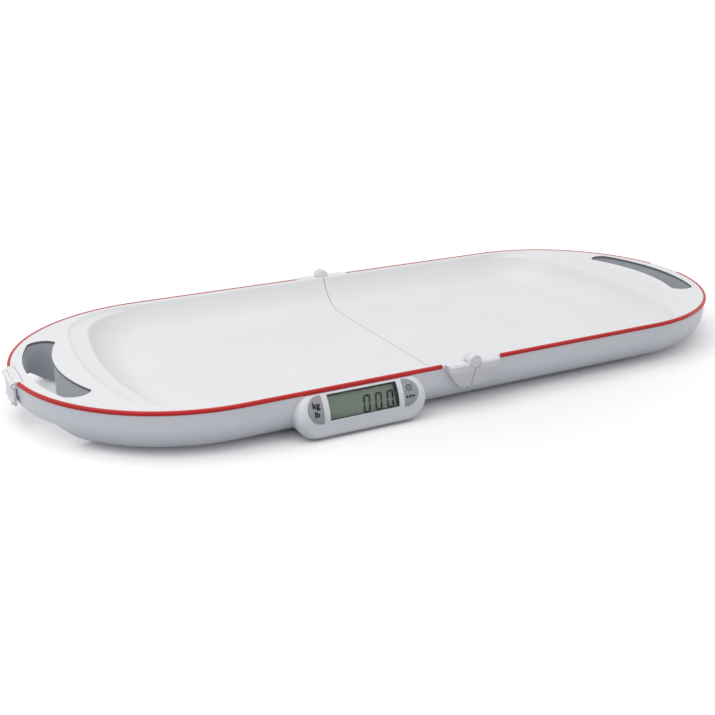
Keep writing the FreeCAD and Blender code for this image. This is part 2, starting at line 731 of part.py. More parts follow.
def grip_liner(side):
    outer = slot(SLOT_SETBACK + LINER_WALL, FOOT_LIFT, DECK_TOP - DECK_THICK - TOUCH, side)
    inner = slot(SLOT_SETBACK, -1, TALL, side)
    return cut(outer, [inner, scoop(side)])


# ---- lower shells

def ribs(side):
    """A grid under the flat floor of the tray."""
    reach_x = TRAY_LENGTH / 2 - RECESS_END - RECESS_BLEND
    reach_y = END_RADIUS - RECESS_SIDE - RECESS_BLEND
    top = FLOOR_TOP - TRAY_WALL - TOUCH
    low = SHELL_FLOOR - 0.5
    half_rib = RIB_THICK / 2
    walls = []
    x = RIB_START
    while x < reach_x:
        walls.append(box(x - half_rib, x + half_rib, -reach_y, reach_y, low, top))
        x += RIB_PITCH_X
    count = int(reach_y / RIB_PITCH_Y)
    for k in range(-count, count + 1):
        y = k * RIB_PITCH_Y
        walls.append(box(SEAM_GAP, reach_x, y - half_rib, y + half_rib, low, top))
    return walls if side > 0 else [mirror_x(wall) for wall in walls]


def shell_bosses(side):
    posts = []
    holes = []
    for x, y in screw_places(side):
        low = FOOT_LIFT + 1.0
        posts.append(cylinder((x, y, low), (0, 0, 1), SHELL_BOSS, BOSS_FOOT - TOUCH - low))
        holes.append(cylinder((x, y, -1), (0, 0, 1), SCREW_HEAD + SCREW_CLEAR, SCREW_SEAT + 1))
        holes.append(cylinder((x, y, 0), (0, 0, 1), SCREW_RADIUS + SCREW_CLEAR, TALL))
    return posts, holes


def cell_seats(side):
    seats = []
    holes = []
    reach = CELL_PLATE / 2 + CELL_FIT
    outer = reach + CELL_SEAT_WALL
    for x, y in cell_places(side).values():
        seats.append(box(x - outer, x + outer, y - outer, y + outer, FOOT_LIFT, CELL_Z + CELL_THICK))
        holes.append(box(x - reach, x + reach, y - reach, y + reach, CELL_Z - 0.01, TALL))
        holes.append(cylinder((x, y, 0), (0, 0, 1), FOOT_RADIUS + FOOT_CLEAR, TALL))
    return seats, holes


def lower_shell(side, cutters):
    """One half of the underside: hull, finger arch, slot collar, bulkhead, ribs, seats and bosses."""
    hull = cut(shell_body(0, TRIM_BOTTOM), [scoop(side)])
    cavity = cut(shell_body(SHELL_WALL, TALL), [scoop(side, SHELL_WALL)])
    skin = cut(hull, [cavity]).common(half(side))
    near, far = sorted((side * SEAM_GAP / 2, side * (SEAM_GAP / 2 + BULKHEAD)))
    bulkhead = hull.common(box(near, far, -TRAY_WIDTH, TRAY_WIDTH, 0, TALL))
    bulkhead = cut(bulkhead, [bowl(TRAY_WALL + BOWL_CLEAR)])
    top = DECK_TOP - DECK_THICK - TOUCH
    collar = slot(SLOT_SETBACK + LINER_WALL + TOUCH + COLLAR_WALL, FOOT_LIFT, top, side)
    collar = cut(collar, [scoop(side)])
    posts, post_holes = shell_bosses(side)
    seats, seat_holes = cell_seats(side)
    inside = shell_body(SHELL_WALL / 2, TALL)
    stands = [solid.common(inside) for solid in [collar] + posts + seats]
    body = fuse([skin, bulkhead] + ribs(side) + stands)
    skirt_inner = END_RADIUS - SKIRT_INSET - SKIRT_THICK
    skirt_low = DECK_TOP - DECK_THICK - SKIRT_DEPTH - TOUCH
    skirt_room = ring(skirt_inner - TOUCH, skirt_inner + SKIRT_THICK + TOUCH, skirt_low, TALL)
    tools = list(cutters) + post_holes + seat_holes
    tools += [slot(SLOT_SETBACK + LINER_WALL + TOUCH, -1, TALL, side), skirt_room]
    tools.append(mount_cutter(0.3) if side < 0 else catch_cutter(TOUCH))
    if side < 0:
        tools.append(pod_body(-TOUCH))
    return cut(body, tools)


# ---- display pod

FRONT_Y = -(END_RADIUS + POD_REACH)
AXIS_Y = FRONT_Y + FACE_RADIUS
FACE_ANGLE = math.asin((POD_TOP - FACE_Z) / FACE_RADIUS)
TILT = FACE_ANGLE - BUTTON_DOWN / FACE_RADIUS


def pod_body(inset):
    """The pod's solid moved in by inset: a capsule from the front, with an arched face."""
    back = -(END_RADIUS - POD_BACK)
    radius = POD_END_RADIUS - inset
    reach = POD_HALF - POD_END_RADIUS
    far = FRONT_Y - 10.0
    low, high = POD_Z - radius, POD_Z + radius
    left, right = POD_X - reach, POD_X + reach
    capsule = [
        line((left, far, high), (right, far, high)),
        arc((right, far, high), (right + radius, far, POD_Z), (right, far, low)),
        line((right, far, low), (left, far, low)),
        arc((left, far, low), (left - radius, far, POD_Z), (left, far, high)),
    ]
    capsule = prism(capsule, (0, back - far, 0))
    r = FACE_RADIUS - inset
    x = POD_X - 2 * POD_HALF

    def face_point(angle):
        return (x, AXIS_Y - r * math.cos(angle), FACE_Z + r * math.sin(angle))

    lean = math.radians(85.0)
    start, middle, end = face_point(0), face_point(lean / 2), face_point(lean)
    section = [
        line((x, start[1], -TALL), start),
        arc(start, middle, end),
        line(end, (x, back + 1, end[2])),
        line((x, back + 1, end[2]), (x, back + 1, -TALL)),
        line((x, back + 1, -TALL), (x, start[1], -TALL)),
    ]
    body = capsule.common(prism(section, (4 * POD_HALF, 0, 0))).Solids[0]
    rounded = []
    for edge in body.Edges:
        points = on_edge(edge)
        front = [
            abs(p.y - start[1]) < 1e-4 if p.z < FACE_Z
            else abs(math.hypot(p.y - AXIS_Y, p.z - FACE_Z) - r) < 1e-4
            for p in points
        ]
        if all(front) and not all(abs(p.z - FACE_Z) < 1e-4 for p in points):
            rounded.append(edge)
    body = body.makeFillet(POD_BLEND - inset, rounded)
    keep = box(x, x + 4 * POD_HALF, far - 5, back, FOOT_LIFT + inset, POD_TOP - inset)
    return body.common(keep)


def face_shell(depth0, depth1, x0, x1, s0, s1):
    """A piece of the curved face between two depths; s runs down from its top edge."""
    def at(depth, s):
        angle = FACE_ANGLE - s / FACE_RADIUS
        r = FACE_RADIUS - depth
        return (POD_X + x0, AXIS_Y - r * math.cos(angle), FACE_Z + r * math.sin(angle))

    mid = (s0 + s1) / 2
    edges = [
        arc(at(depth0, s0), at(depth0, mid), at(depth0, s1)),
        line(at(depth0, s1), at(depth1, s1)),
        arc(at(depth1, s1), at(depth1, mid), at(depth1, s0)),
        line(at(depth1, s0), at(depth0, s0)),
    ]
    return prism(edges, (x1 - x0, 0, 0))


def on_face(shape):
    """Place a shape drawn with x along the pod, y up the face and z out of the face's axis."""
    turn = FreeCAD.Rotation(Vector(1, 0, 0), 90.0 - math.degrees(TILT))
    placed = shape.copy()
    placed.Placement = FreeCAD.Placement(Vector(POD_X, AXIS_Y, FACE_Z), turn).multiply(shape.Placement)
    return placed


def button_prism(sign, offset, z0, z1):
    """The D outline of a button, its flat side towards the window."""
    radius = BUTTON_RADIUS + offset
    flat = BUTTON_FLAT + offset
    rise = math.sqrt(radius**2 - flat**2)
    x = sign * BUTTON_X
    edges = [
        arc((x - sign * flat, rise, z0), (x + sign * radius, 0, z0), (x - sign * flat, -rise, z0)),
        line((x - sign * flat, -rise, z0), (x - sign * flat, rise, z0)),
    ]
    return on_face(prism(edges, (0, 0, z1 - z0)))


def face_tube(depth0, depth1):
    start = (POD_X - POD_HALF, AXIS_Y, FACE_Z)
    outer = cylinder(start, (1, 0, 0), FACE_RADIUS - depth0, 2 * POD_HALF)
    return outer.cut(cylinder(start, (1, 0, 0), FACE_RADIUS - depth1, 2 * POD_HALF))


def button(sign):
    """Cap in the face, flange behind the wall, stem towards the switch."""
    near = FACE_RADIUS / 2
    far = FACE_RADIUS + 5.0
    flange_depth = POD_WALL + FLANGE_GAP
    cap = button_prism(sign, -BUTTON_CLEAR, near, far).common(face_tube(-BUTTON_PROUD, flange_depth + 0.5))
    flange = button_prism(sign, FLANGE, near, far).common(face_tube(flange_depth, flange_depth + 1.0))
    flange = flange.common(pod_body(flange_depth))
    stem_low = BOARD_FRONT + TOUCH + SWITCH_HEIGHT + BUTTON_TRAVEL + PLUNGER_GAP
    stem = cylinder((sign * BUTTON_X, 0, stem_low), (0, 0, 1), 2.4, FACE_RADIUS - flange_depth - stem_low)
    return fuse([cap, flange, on_face(stem)])


def display_housing():
    skin = cut(pod_body(0), [pod_body(POD_WALL)])
    rooms = [face_shell(-5, POD_WALL + 3, -WINDOW_LEFT, WINDOW_RIGHT, WINDOW_TOP, WINDOW_LOW)]
    rooms.append(
        face_shell(
            LENS_DEPTH, POD_WALL + 3,
            -WINDOW_LEFT - LENS_SEAT - TOUCH, WINDOW_RIGHT + LENS_SEAT + TOUCH,
            WINDOW_TOP - LENS_SEAT_TOP - TOUCH, WINDOW_LOW + LENS_SEAT + TOUCH))
    rooms += [button_prism(sign, 0, FACE_RADIUS / 2, FACE_RADIUS + 5) for sign in (-1, 1)]
    posts = []
    for sign in (-1, 1):
        low = BOARD_FRONT + TOUCH
        post = cylinder((sign * POST_X, 0, low), (0, 0, 1), POST_RADIUS, FACE_RADIUS - low)
        posts.append(on_face(post).common(pod_body(POD_WALL / 2)))
    floor = FOOT_LIFT + POD_WALL
    front_y = -(END_RADIUS + COVER_FRONT)
    back_y = -(END_RADIUS - COVER_BACK)
    bay = []
    for sign in (-1, 1):
        x = sorted((POD_X + sign * BAY_HALF, POD_X + sign * (BAY_HALF + BAY_WALL)))
        bay.append(box(x[0], x[1], front_y, back_y, floor - 0.5, BAY_TOP))
    hatch = box(
        POD_X - COVER_HALF - COVER_GAP, POD_X + COVER_HALF + COVER_GAP,
        front_y - COVER_GAP, back_y + COVER_HINGE_GAP, 0, floor + 0.01)
    skirt_inner = END_RADIUS - SKIRT_INSET - SKIRT_THICK
    skirt_low = DECK_TOP - DECK_THICK - SKIRT_DEPTH - 2 * TOUCH
    skirt_room = ring(skirt_inner - 2 * TOUCH, skirt_inner + SKIRT_THICK + 2 * TOUCH, skirt_low, TALL)
    rooms += [bowl(TRAY_WALL + BOWL_CLEAR), skirt_room, hatch]
    return cut(fuse([skin] + posts + bay), rooms)


def display_window():
    return face_shell(
        LENS_DEPTH + TOUCH / 2, LENS_DEPTH + LENS_THICK,
        -WINDOW_LEFT - LENS_SEAT, WINDOW_RIGHT + LENS_SEAT,
        WINDOW_TOP - LENS_SEAT_TOP, WINDOW_LOW + LENS_SEAT)


def lcd_panel():
    return on_face(box(-LCD_HALF, LCD_HALF, -LCD_HIGH, LCD_HIGH, LCD_FRONT - LCD_THICK, LCD_FRONT))


def lcd_connector():
    high = min(LCD_HIGH, BOARD_HIGH) - 0.5
    low, top = BOARD_FRONT, LCD_FRONT - LCD_THICK
    return on_face(box(-LCD_HALF + 4, LCD_HALF - 4, high - 2.4, high, low, top))


def display_board():
    low, top = BOARD_FRONT - BOARD_THICK, BOARD_FRONT
    main = box(-BOARD_HALF, BOARD_HALF, BOARD_LOW, BOARD_HIGH, low, top)
    ears = box(-BOARD_EAR, BOARD_EAR, -BOARD_EAR_HALF, BOARD_EAR_HALF, low, top)
    return on_face(fuse([main, ears]))


def controller_chip():
    top = BOARD_FRONT - BOARD_THICK
    half_chip = CHIP_SIDE / 2
    return on_face(box(-half_chip, half_chip, -5.0, CHIP_SIDE - 5.0, top - CHIP_THICK, top))


def tact_switch(sign):
    x = sign * BUTTON_X
    half_switch = SWITCH_SIDE / 2
    body = box(x - half_switch, x + half_switch, -half_switch, half_switch,
               BOARD_FRONT, BOARD_FRONT + SWITCH_HEIGHT - 0.8)
    plunger = cylinder((x, 0, BOARD_FRONT + 1), (0, 0, 1), 1.6, SWITCH_HEIGHT - 1)
    return on_face(fuse([body, plunger]))


# ---- batteries

def battery_cells():
    cells = []
    for sign, inside in ((1, BATTERY_BACK), (-1, BATTERY_FRONT)):
        y = -(END_RADIUS - inside)
        start = POD_X - sign * BATTERY_LENGTH / 2
        body = cylinder((start, y, BATTERY_Z), (sign, 0, 0), BATTERY_RADIUS, BATTERY_LENGTH - BATTERY_NUB)
        nub = cylinder((start, y, BATTERY_Z), (sign, 0, 0), 1.9, BATTERY_LENGTH)
        cells.append(fuse([body, nub]))
    return Part.makeCompound([cell.Solids[0] for cell in cells])


def battery_contacts():
    """One bridge plate and two single plates, with a spring at each cell's flat end."""
    plate_x = BAY_HALF - CONTACT_THICK - TOUCH
    pieces = []
    centres = [-(END_RADIUS - inside) for inside in (BATTERY_BACK, BATTERY_FRONT)]
    for side in (-1, 1):
        x = sorted((POD_X + side * plate_x, POD_X + side * (plate_x + CONTACT_THICK)))
        plates = []
        for sign, y in zip((1, -1), centres):
            gap = plate_x - BATTERY_LENGTH / 2 - TOUCH
            flat_end = -sign
            start = (POD_X + side * plate_x, y, BATTERY_Z)
            if side == flat_end:
                reach = Part.makeCone(3.4, 1.8, gap, Vector(*start), Vector(-side, 0, 0))
            else:
                reach = Part.makeCone(2.4, 1.6, gap, Vector(*start), Vector(-side, 0, 0))
            plates.append(fuse([box(x[0], x[1], y - 4.6, y + 4.6, BATTERY_Z - 4.4, BATTERY_Z + 2.6), reach]))
        if side > 0:
            low, high = sorted(centres)
            bridge = box(x[0], x[1], low, high, BATTERY_Z - 4.4, BATTERY_Z - 1.0)
            plates = [fuse(plates + [bridge])]
        pieces += plates
    return Part.makeCompound([piece.Solids[0] for piece in pieces])


def battery_cover():
    floor = FOOT_LIFT + POD_WALL
    front_y = -(END_RADIUS + COVER_FRONT)
    axis_y = -(END_RADIUS - COVER_AXIS_IN)
    plate = box(POD_X - COVER_HALF, POD_X + COVER_HALF, front_y, axis_y + 0.3, FOOT_LIFT, floor)
    grips = [
        box(POD_X - 8, POD_X + 8, y, y + 0.8, FOOT_LIFT - 1, FOOT_LIFT + 0.6)
        for y in (front_y + 3.0, front_y + 5.0, front_y + 7.0)
    ]
    tabs = []
    for sign in (-1, 1):
        x = POD_X + sign * TAB_X
        x0, x1, top = x - TAB_HALF, x + TAB_HALF, floor + TOUCH + TAB_THICK
        riser = box(x0, x1, axis_y - 1.2, axis_y + 0.2, floor - 0.5, top)
        hook = box(x0, x1, axis_y - 1.2, axis_y + TAB_REACH, floor + TOUCH, top)
        tabs += [riser, hook]
    return cut(fuse([plate] + tabs), grips)


# ---- load cells, feet and screws

def load_cell(place):
    """A square steel plate with a tongue in its middle, and the gauge on the tongue's root."""
    x, y = place
    side = CELL_PLATE / 2
    plate = box(x - side, x + side, y - side, y + side, CELL_Z, CELL_Z + CELL_THICK)
    tongue = CELL_TONGUE
    reach = side - 4.0
    slots = [
        box(x - reach, x + reach, y + s * tongue - CELL_SLOT / 2, y + s * tongue + CELL_SLOT / 2, 0, TALL)
        for s in (-1, 1)
    ]
    slots.append(box(x + reach - CELL_SLOT, x + reach, y - tongue, y + tongue, 0, TALL))
    gauge = box(x - reach + 1, x - reach + 5, y - 3, y + 3, CELL_Z + CELL_THICK, CELL_Z + CELL_THICK + 0.6)
    return Part.makeCompound([cut(plate, slots).Solids[0], gauge])


def foot(place):
    x, y = place
    low = Part.makeCone(FOOT_RADIUS - FOOT_EDGE, FOOT_RADIUS, FOOT_EDGE, Vector(x, y, 0))
    pad = cylinder((x, y, FOOT_EDGE), (0, 0, 1), FOOT_RADIUS, FOOT_HEIGHT - FOOT_EDGE)
    stem = cylinder((x, y, FOOT_HEIGHT - 0.5), (0, 0, 1), FOOT_STEM, CELL_Z - FOOT_HEIGHT + 0.5)
    return fuse([low, pad, stem])


def screws(side):
    pieces = []
    for x, y in screw_places(side):
        head = cylinder((x, y, SCREW_SEAT - SCREW_HEAD_HEIGHT), (0, 0, 1), SCREW_HEAD, SCREW_HEAD_HEIGHT)
        shank = cylinder((x, y, SCREW_SEAT - 0.5), (0, 0, 1), SCREW_RADIUS, SCREW_LENGTH + 0.5)
        cross = [
            box(x - a, x + a, y - b, y + b, 0, SCREW_SEAT - SCREW_HEAD_HEIGHT + 0.9)
            for a, b in ((1.6, 0.3), (0.3, 1.6))
        ]
        pieces.append(cut(fuse([head, shank]), cross).Solids[0])
    return Part.makeCompound(pieces)


def hinge_pin():
    return rod(PIN_RADIUS, PIN_REACH)


def build():
    whole = tray_whole()
    cutters = hinge_cutters()
    nodes = {}
    strip = trim()
    for name, side in (("left", -1), ("right", 1)):
        nodes["tray_" + name] = tray(side, whole, cutters)
        nodes["lower_shell_" + name] = lower_shell(side, cutters)
        nodes["grip_liner_" + name] = grip_liner(side)
        nodes["screws_" + name] = screws(side)
        near = strip if side > 0 else mirror_x(strip)
        bracket = hinge_bracket(side)
        nodes["trim_%s_rear" % name] = near
        nodes["trim_%s_front" % name] = mirror_y(near)
        nodes["hinge_bracket_%s_rear" % name] = bracket
        nodes["hinge_bracket_%s_front" % name] = mirror_y(bracket)
        for place, centre in cell_places(side).items():
            nodes["load_cell_%s_%s" % (name, place)] = load_cell(centre)
            nodes["foot_%s_%s" % (name, place)] = foot(centre)
    nodes["hinge_pin_rear"] = hinge_pin()
    nodes["hinge_pin_front"] = mirror_y(hinge_pin())
    nodes["latch_mount"] = latch_mount()
    nodes["latch_pin"] = latch_pin()
    nodes["latch_lever"] = latch_lever()
    nodes["latch_catch"] = latch_catch()
    nodes["display_housing"] = display_housing()
    nodes["display_window"] = display_window()
    nodes["lcd_panel"] = lcd_panel()
    nodes["lcd_connector"] = lcd_connector()
    nodes["display_board"] = display_board()
    nodes["controller_chip"] = controller_chip()
    for name, sign in (("unit", -1), ("power", 1)):
        nodes["button_" + name] = button(sign)
        nodes["switch_" + name] = tact_switch(sign)
    nodes["battery_cells"] = battery_cells()
    nodes["battery_contacts"] = battery_contacts()
    nodes["battery_cover"] = battery_cover()
    return nodes


def main():
    os.makedirs("parts", exist_ok=True)
    for name, shape in build().items():
        solids = shape.Solids
        print(name, len(solids), "valid" if shape.isValid() else "NOT VALID", round(shape.Volume))
        shape = solids[0] if len(solids) == 1 else Part.makeCompound(solids)
        shape.exportStep(os.path.join("parts", name + ".step"))


main()
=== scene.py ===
import json
import math

import bmesh
import bpy
import numpy as np
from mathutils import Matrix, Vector

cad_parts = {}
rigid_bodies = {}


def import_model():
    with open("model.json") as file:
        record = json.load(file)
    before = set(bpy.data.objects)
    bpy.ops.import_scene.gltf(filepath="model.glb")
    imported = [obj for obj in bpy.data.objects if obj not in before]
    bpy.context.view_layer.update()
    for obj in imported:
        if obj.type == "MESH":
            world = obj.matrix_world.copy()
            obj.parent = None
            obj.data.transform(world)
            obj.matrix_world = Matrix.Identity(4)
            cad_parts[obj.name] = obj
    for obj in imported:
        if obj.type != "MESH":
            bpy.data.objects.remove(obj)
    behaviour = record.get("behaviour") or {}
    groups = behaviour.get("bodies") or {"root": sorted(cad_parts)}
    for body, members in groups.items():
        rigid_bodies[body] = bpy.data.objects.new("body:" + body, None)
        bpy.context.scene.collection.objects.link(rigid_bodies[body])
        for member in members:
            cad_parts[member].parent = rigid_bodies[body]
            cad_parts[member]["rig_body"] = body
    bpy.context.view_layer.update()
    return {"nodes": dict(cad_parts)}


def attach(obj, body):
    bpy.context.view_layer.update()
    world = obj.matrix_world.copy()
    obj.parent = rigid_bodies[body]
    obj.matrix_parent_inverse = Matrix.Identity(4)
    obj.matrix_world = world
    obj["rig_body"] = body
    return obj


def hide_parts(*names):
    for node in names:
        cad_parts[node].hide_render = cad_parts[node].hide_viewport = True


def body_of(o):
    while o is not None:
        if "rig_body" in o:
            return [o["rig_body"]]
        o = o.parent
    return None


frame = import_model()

nodes = frame["nodes"]
MM = 0.001

# camera, in the frame's metres
CAMERA_AT = Vector((-0.5159, -0.9165, 0.3841))
CAMERA_LOOKS = Vector((0.43518, 0.83024, -0.34830))
FOCAL_PIXELS = 1052.14
IMAGE_PIXELS = 715
SENSOR = 36.0

# light: the share of white that a level surface receives from each source, and the softbox's own power
OVERHEAD_LEVEL = 0.24
OVERHEAD_FROM = (-0.12, 0.12, 1.0)
OVERHEAD_SPREAD = math.radians(55)
FRONT_LEVEL = 0.032
FRONT_FROM = (0.8, -1.0, 0.42)
FRONT_SPREAD = math.radians(60)
ROOM_LEVEL = 0.59
SOFTBOX_AT = (-1.35, -0.15, 1.35)
SOFTBOX_SIZE = (1.1, 1.1)
SOFTBOX_WATTS = 7.0
TABLE_HALF = 60.0
TABLE_WHITE = (0.985, 0.985, 0.985)
TABLE_BOUNCE = (0.39, 0.40, 0.44)      # what the table gives back to the underside
TABLE_NEAR, TABLE_FAR = 0.22, 1.6      # past the far radius the table shows its plain white

# the display pod, in millimetres: its curved face turns about an axis along x
POD_X = -117.0
FACE_AXIS_Y = -140.1
FACE_AXIS_Z = 17.0
FACE_RADIUS = 31.1
FACE_TOP_Z = 40.0
FACE_MIDDLE = 13.8                     # the buttons' middle, along the face from its top edge
FACE_TILT = math.asin((FACE_TOP_Z - FACE_AXIS_Z) / FACE_RADIUS) - FACE_MIDDLE / FACE_RADIUS
PANEL_FRONT = 25.6                     # the panel's front, from the face's axis
LENS_BACK = 28.9                       # the window's inner radius
WINDOW_LEFT, WINDOW_RIGHT = -34.1, 34.4
WINDOW_LOW, WINDOW_HIGH = -11.3, 11.9
CAP_RADIUS = 31.5                      # the buttons' outer face

# display: the left edge, foot and head of its digits on the flat panel, in millimetres from the pod's middle
DIGIT_LEFT = (-0.2, 11.5, 23.2)
DIGIT_LOW, DIGIT_HIGH = -11.0, 5.0
DIGIT_WIDE = 7.2
STROKE = 2.0
LEAN = 0.12                            # shift along x for each millimetre of height
SEGMENT_GAP = 0.28
SEGMENT_FOOT, SEGMENT_FACE = 0.02, 0.08    # from the panel's front
GASKET_WALL = 0.9
GASKET_STEPS = 16
GASKET_FOOT, GASKET_GAP = 0.05, 0.1    # off the panel, and short of the lens
# the opening is set in further at the right and top, where the frame stands in part for painted shade
GASKET_LEFT, GASKET_RIGHT = WINDOW_LEFT + 0.7, WINDOW_RIGHT - 1.3      # its opening
GASKET_LOW, GASKET_HIGH = WINDOW_LOW + 1.1, WINDOW_HIGH - 1.9

# marks on the buttons: x along the pod and y up the curved face from its middle, in millimetres
INK_TOP, INK_SUNK = 0.12, 0.02         # how far the ink stands out of the cap and reaches into it
LETTER_STRIP = 0.6                     # letters are cut in strips of this height, so that they can bend
LETTER_SWELL = 0.042                   # share of a letter's size that its outline grows by
UNIT_AT, UNIT_SIZE = (-46.4, 4.0), 7.6
POUND_AT, POUND_SIZE = (-46.4, -3.9), 6.8
POWER_AT, POWER_RING, POWER_BAR = (45.3, 4.0), (2.15, 2.9), (0.32, 1.2)
ZERO_AT, ZERO_RING = (45.4, -3.9), (0.7, 1.5)
ARROW_TIP, ARROW_HEAD, ARROW_TAIL = 1.8, 1.7, 2.9      # tip from the ring's middle, then back from the tip
ARROW_HALF, SHAFT_HALF = 1.5, 0.5

# where finishes change, in millimetres
SLOT_EDGE_IN, SLOT_EDGE_OUT, SLOT_EDGE_HALF = 325.5, 375.0, 84.0       # the hand slots' cut edges in the deck
UPRIGHT = 0.5                          # a face is upright where its normal's z is less than this
PANEL_HALF = 36.0
CELL_BAND, CELL_BARE = 10.5, 21.2      # from the cells' middle
DUST_HEIGHT = 1.2

# patterns: how fine each noise is, per metre, and how deep each relief is, in metres
CLOUD_SCALE = 11.0
GRAIN_RELIEF = 0.00012
EDGE_BREAKUP_SCALE = 160.0
LINE_RELIEF = 0.00005
SCUFF_PATCH_SCALE = 14.0
SCUFF_LINE = 0.006                     # half of a scratch's width, in units of its noise
METAL_CLOUD_SCALE = 70.0
PANEL_WEAVE_SCALE = 4000.0
TRACK_SCALE = 180.0
TRACK_RELIEF = 0.00004
LACQUER_SCALE = 90.0
RUBBER_BAND_SCALE = 800.0
SLEEVE_SCALE = 120.0
DUST_SCALE = 1100.0
INK_SCALE = 900.0

# edges rounded on a copy of the CAD's own mesh: the radius in millimetres
SOFT_EDGES = {"latch_lever": 1.2, "latch_mount": 1.2, "latch_catch": 0.8, "hinge_bracket_left_front": 2.2,
              "hinge_bracket_left_rear": 2.2, "hinge_bracket_right_front": 2.2, "hinge_bracket_right_rear": 2.2}
SOFT_EDGE_ANGLE = math.radians(9)      # the least angle of an edge that is rounded
SOFT_EDGE_STEPS = 4
SAME_POINT = 1e-6
SAME_FLAT = math.radians(1.0)

# painted highlight: the white mouldings' edges are lightened to this colour
WHITE_EDGE_HIGHLIGHT = (0.84, 0.845, 0.855)
# painted shade: the hand slots' cut edges are coloured far darker than the grips' grey
SLOT_EDGE_SHADE = (0.17, 0.175, 0.19)


def sized_camera():
    data = bpy.data.cameras.new("camera")
    data.sensor_width = SENSOR
    data.lens = SENSOR * FOCAL_PIXELS / IMAGE_PIXELS
    data.clip_start = 0.01
    data.clip_end = 100.0
    camera = bpy.data.objects.new("camera", data)
    camera.location = CAMERA_AT
    camera.rotation_mode = "QUATERNION"
    camera.rotation_quaternion = CAMERA_LOOKS.to_track_quat("-Z", "Y")
    bpy.context.scene.collection.objects.link(camera)
    bpy.context.scene.camera = camera


sized_camera()


# ---- shader trees ----

def put(tree, kind, settings=None, **inputs):
    """Adds one node. Settings are its own options; inputs are values or the sockets that feed it."""
    node = tree.nodes.new("ShaderNode" + kind)
    for name, value in (settings or {}).items():
        setattr(node, name, value)
    for name, value in inputs.items():
        key = int(name[1:]) if name[0] == "i" and name[1:].isdigit() else name.replace("_", " ")
        socket = node.inputs[key]
        if isinstance(value, bpy.types.NodeSocket):
            tree.links.new(value, socket)
        else:
            socket.default_value = value
    return node


def maths(tree, operation, a, b=0.0, clamp=False):
    return put(tree, "Math", {"operation": operation, "use_clamp": clamp}, i0=a, i1=b).outputs[0]


def blend_colour(tree, factor, a, b, kind="MIX"):
    node = put(tree, "Mix", {"data_type": "RGBA", "blend_type": kind}, i0=factor, i6=a, i7=b)
    return node.outputs[2]


def stretch(tree, value, low, high, to_low=0.0, to_high=1.0):
    return put(tree, "MapRange", None, Value=value, From_Min=low, From_Max=high,
               To_Min=to_low, To_Max=to_high).outputs[0]


def noise(tree, where, scale, detail=2.0, rough=0.5):
    return put(tree, "TexNoise", None, Vector=where, Scale=scale, Detail=detail, Roughness=rough).outputs["Fac"]


def place(tree, scale=(1, 1, 1), turn=(0, 0, 0)):
    """The piece's own coordinates in metres, stretched and turned."""
    at = put(tree, "TexCoord").outputs["Object"]
    return put(tree, "Mapping", None, Vector=at, Scale=scale, Rotation=turn).outputs[0]


def new_group(name, inputs, outputs):
    group = bpy.data.node_groups.new(name, "ShaderNodeTree")
    for label, kind, value in inputs:
        socket = group.interface.new_socket(name=label, in_out="INPUT", socket_type="NodeSocket" + kind)
        socket.default_value = value
    for label, kind in outputs:
        group.interface.new_socket(name=label, in_out="OUTPUT", socket_type="NodeSocket" + kind)
    return group, group.nodes.new("NodeGroupInput"), group.nodes.new("NodeGroupOutput")


def moulded_skin():
    """Injection moulding: broad cloudy tone, the fine grain of the tool, and a gloss that follows both."""
    group, given, made = new_group(
        "moulded_skin",
        [("Colour", "Color", (0.8, 0.8, 0.8, 1)), ("Cloud Colour", "Color", (0.75, 0.75, 0.75, 1)),
         ("Gloss", "Float", 0.4), ("Grain Scale", "Float", 2200.0), ("Grain Depth", "Float", 0.15)],
        [("Colour", "Color"), ("Roughness", "Float"), ("Normal", "Vector")])
    at = place(group)
    cloud = stretch(group, noise(group, at, CLOUD_SCALE, 3.0), 0.36, 0.64)
    grain = noise(group, at, given.outputs["Grain Scale"], 2.0, 0.6)
    colour = blend_colour(group, cloud, given.outputs["Colour"], given.outputs["Cloud Colour"])
    speck = stretch(group, grain, 0.3, 0.7, 0.985, 1.015)
    colour = blend_colour(group, 1.0, colour, speck, "MULTIPLY")
    gloss = maths(group, "ADD", given.outputs["Gloss"], stretch(group, cloud, 0, 1, -0.03, 0.03))
    gloss = maths(group, "ADD", gloss, stretch(group, grain, 0.3, 0.7, -0.04, 0.04))
    bump = put(group, "Bump", None, Strength=given.outputs["Grain Depth"], Distance=GRAIN_RELIEF, Height=grain)
    group.links.new(colour, made.inputs["Colour"])
    group.links.new(gloss, made.inputs["Roughness"])
    group.links.new(bump.outputs[0], made.inputs["Normal"])
    return group


def edge_wear_and_highlight():
    """Where a rounded normal leaves the true one: a mask of edges, broken up by a coarse noise."""
    group, given, made = new_group(
        "edge_wear_and_highlight", [("Width", "Float", 0.0006), ("Reach", "Float", 5.0)], [("Mask", "Float")])
    soft = put(group, "Bevel", {"samples": 4}, Radius=given.outputs["Width"])
    true = put(group, "NewGeometry").outputs["Normal"]
    same = put(group, "VectorMath", {"operation": "DOT_PRODUCT"}, i0=soft.outputs[0], i1=true).outputs["Value"]
    edge = maths(group, "MULTIPLY", maths(group, "SUBTRACT", 1.0, same), given.outputs["Reach"], True)
    breakup = stretch(group, noise(group, place(group), EDGE_BREAKUP_SCALE, 3.0), 0.35, 0.65, 0.25, 1.0)
    group.links.new(maths(group, "MULTIPLY", edge, breakup, True), made.inputs["Mask"])
    return group


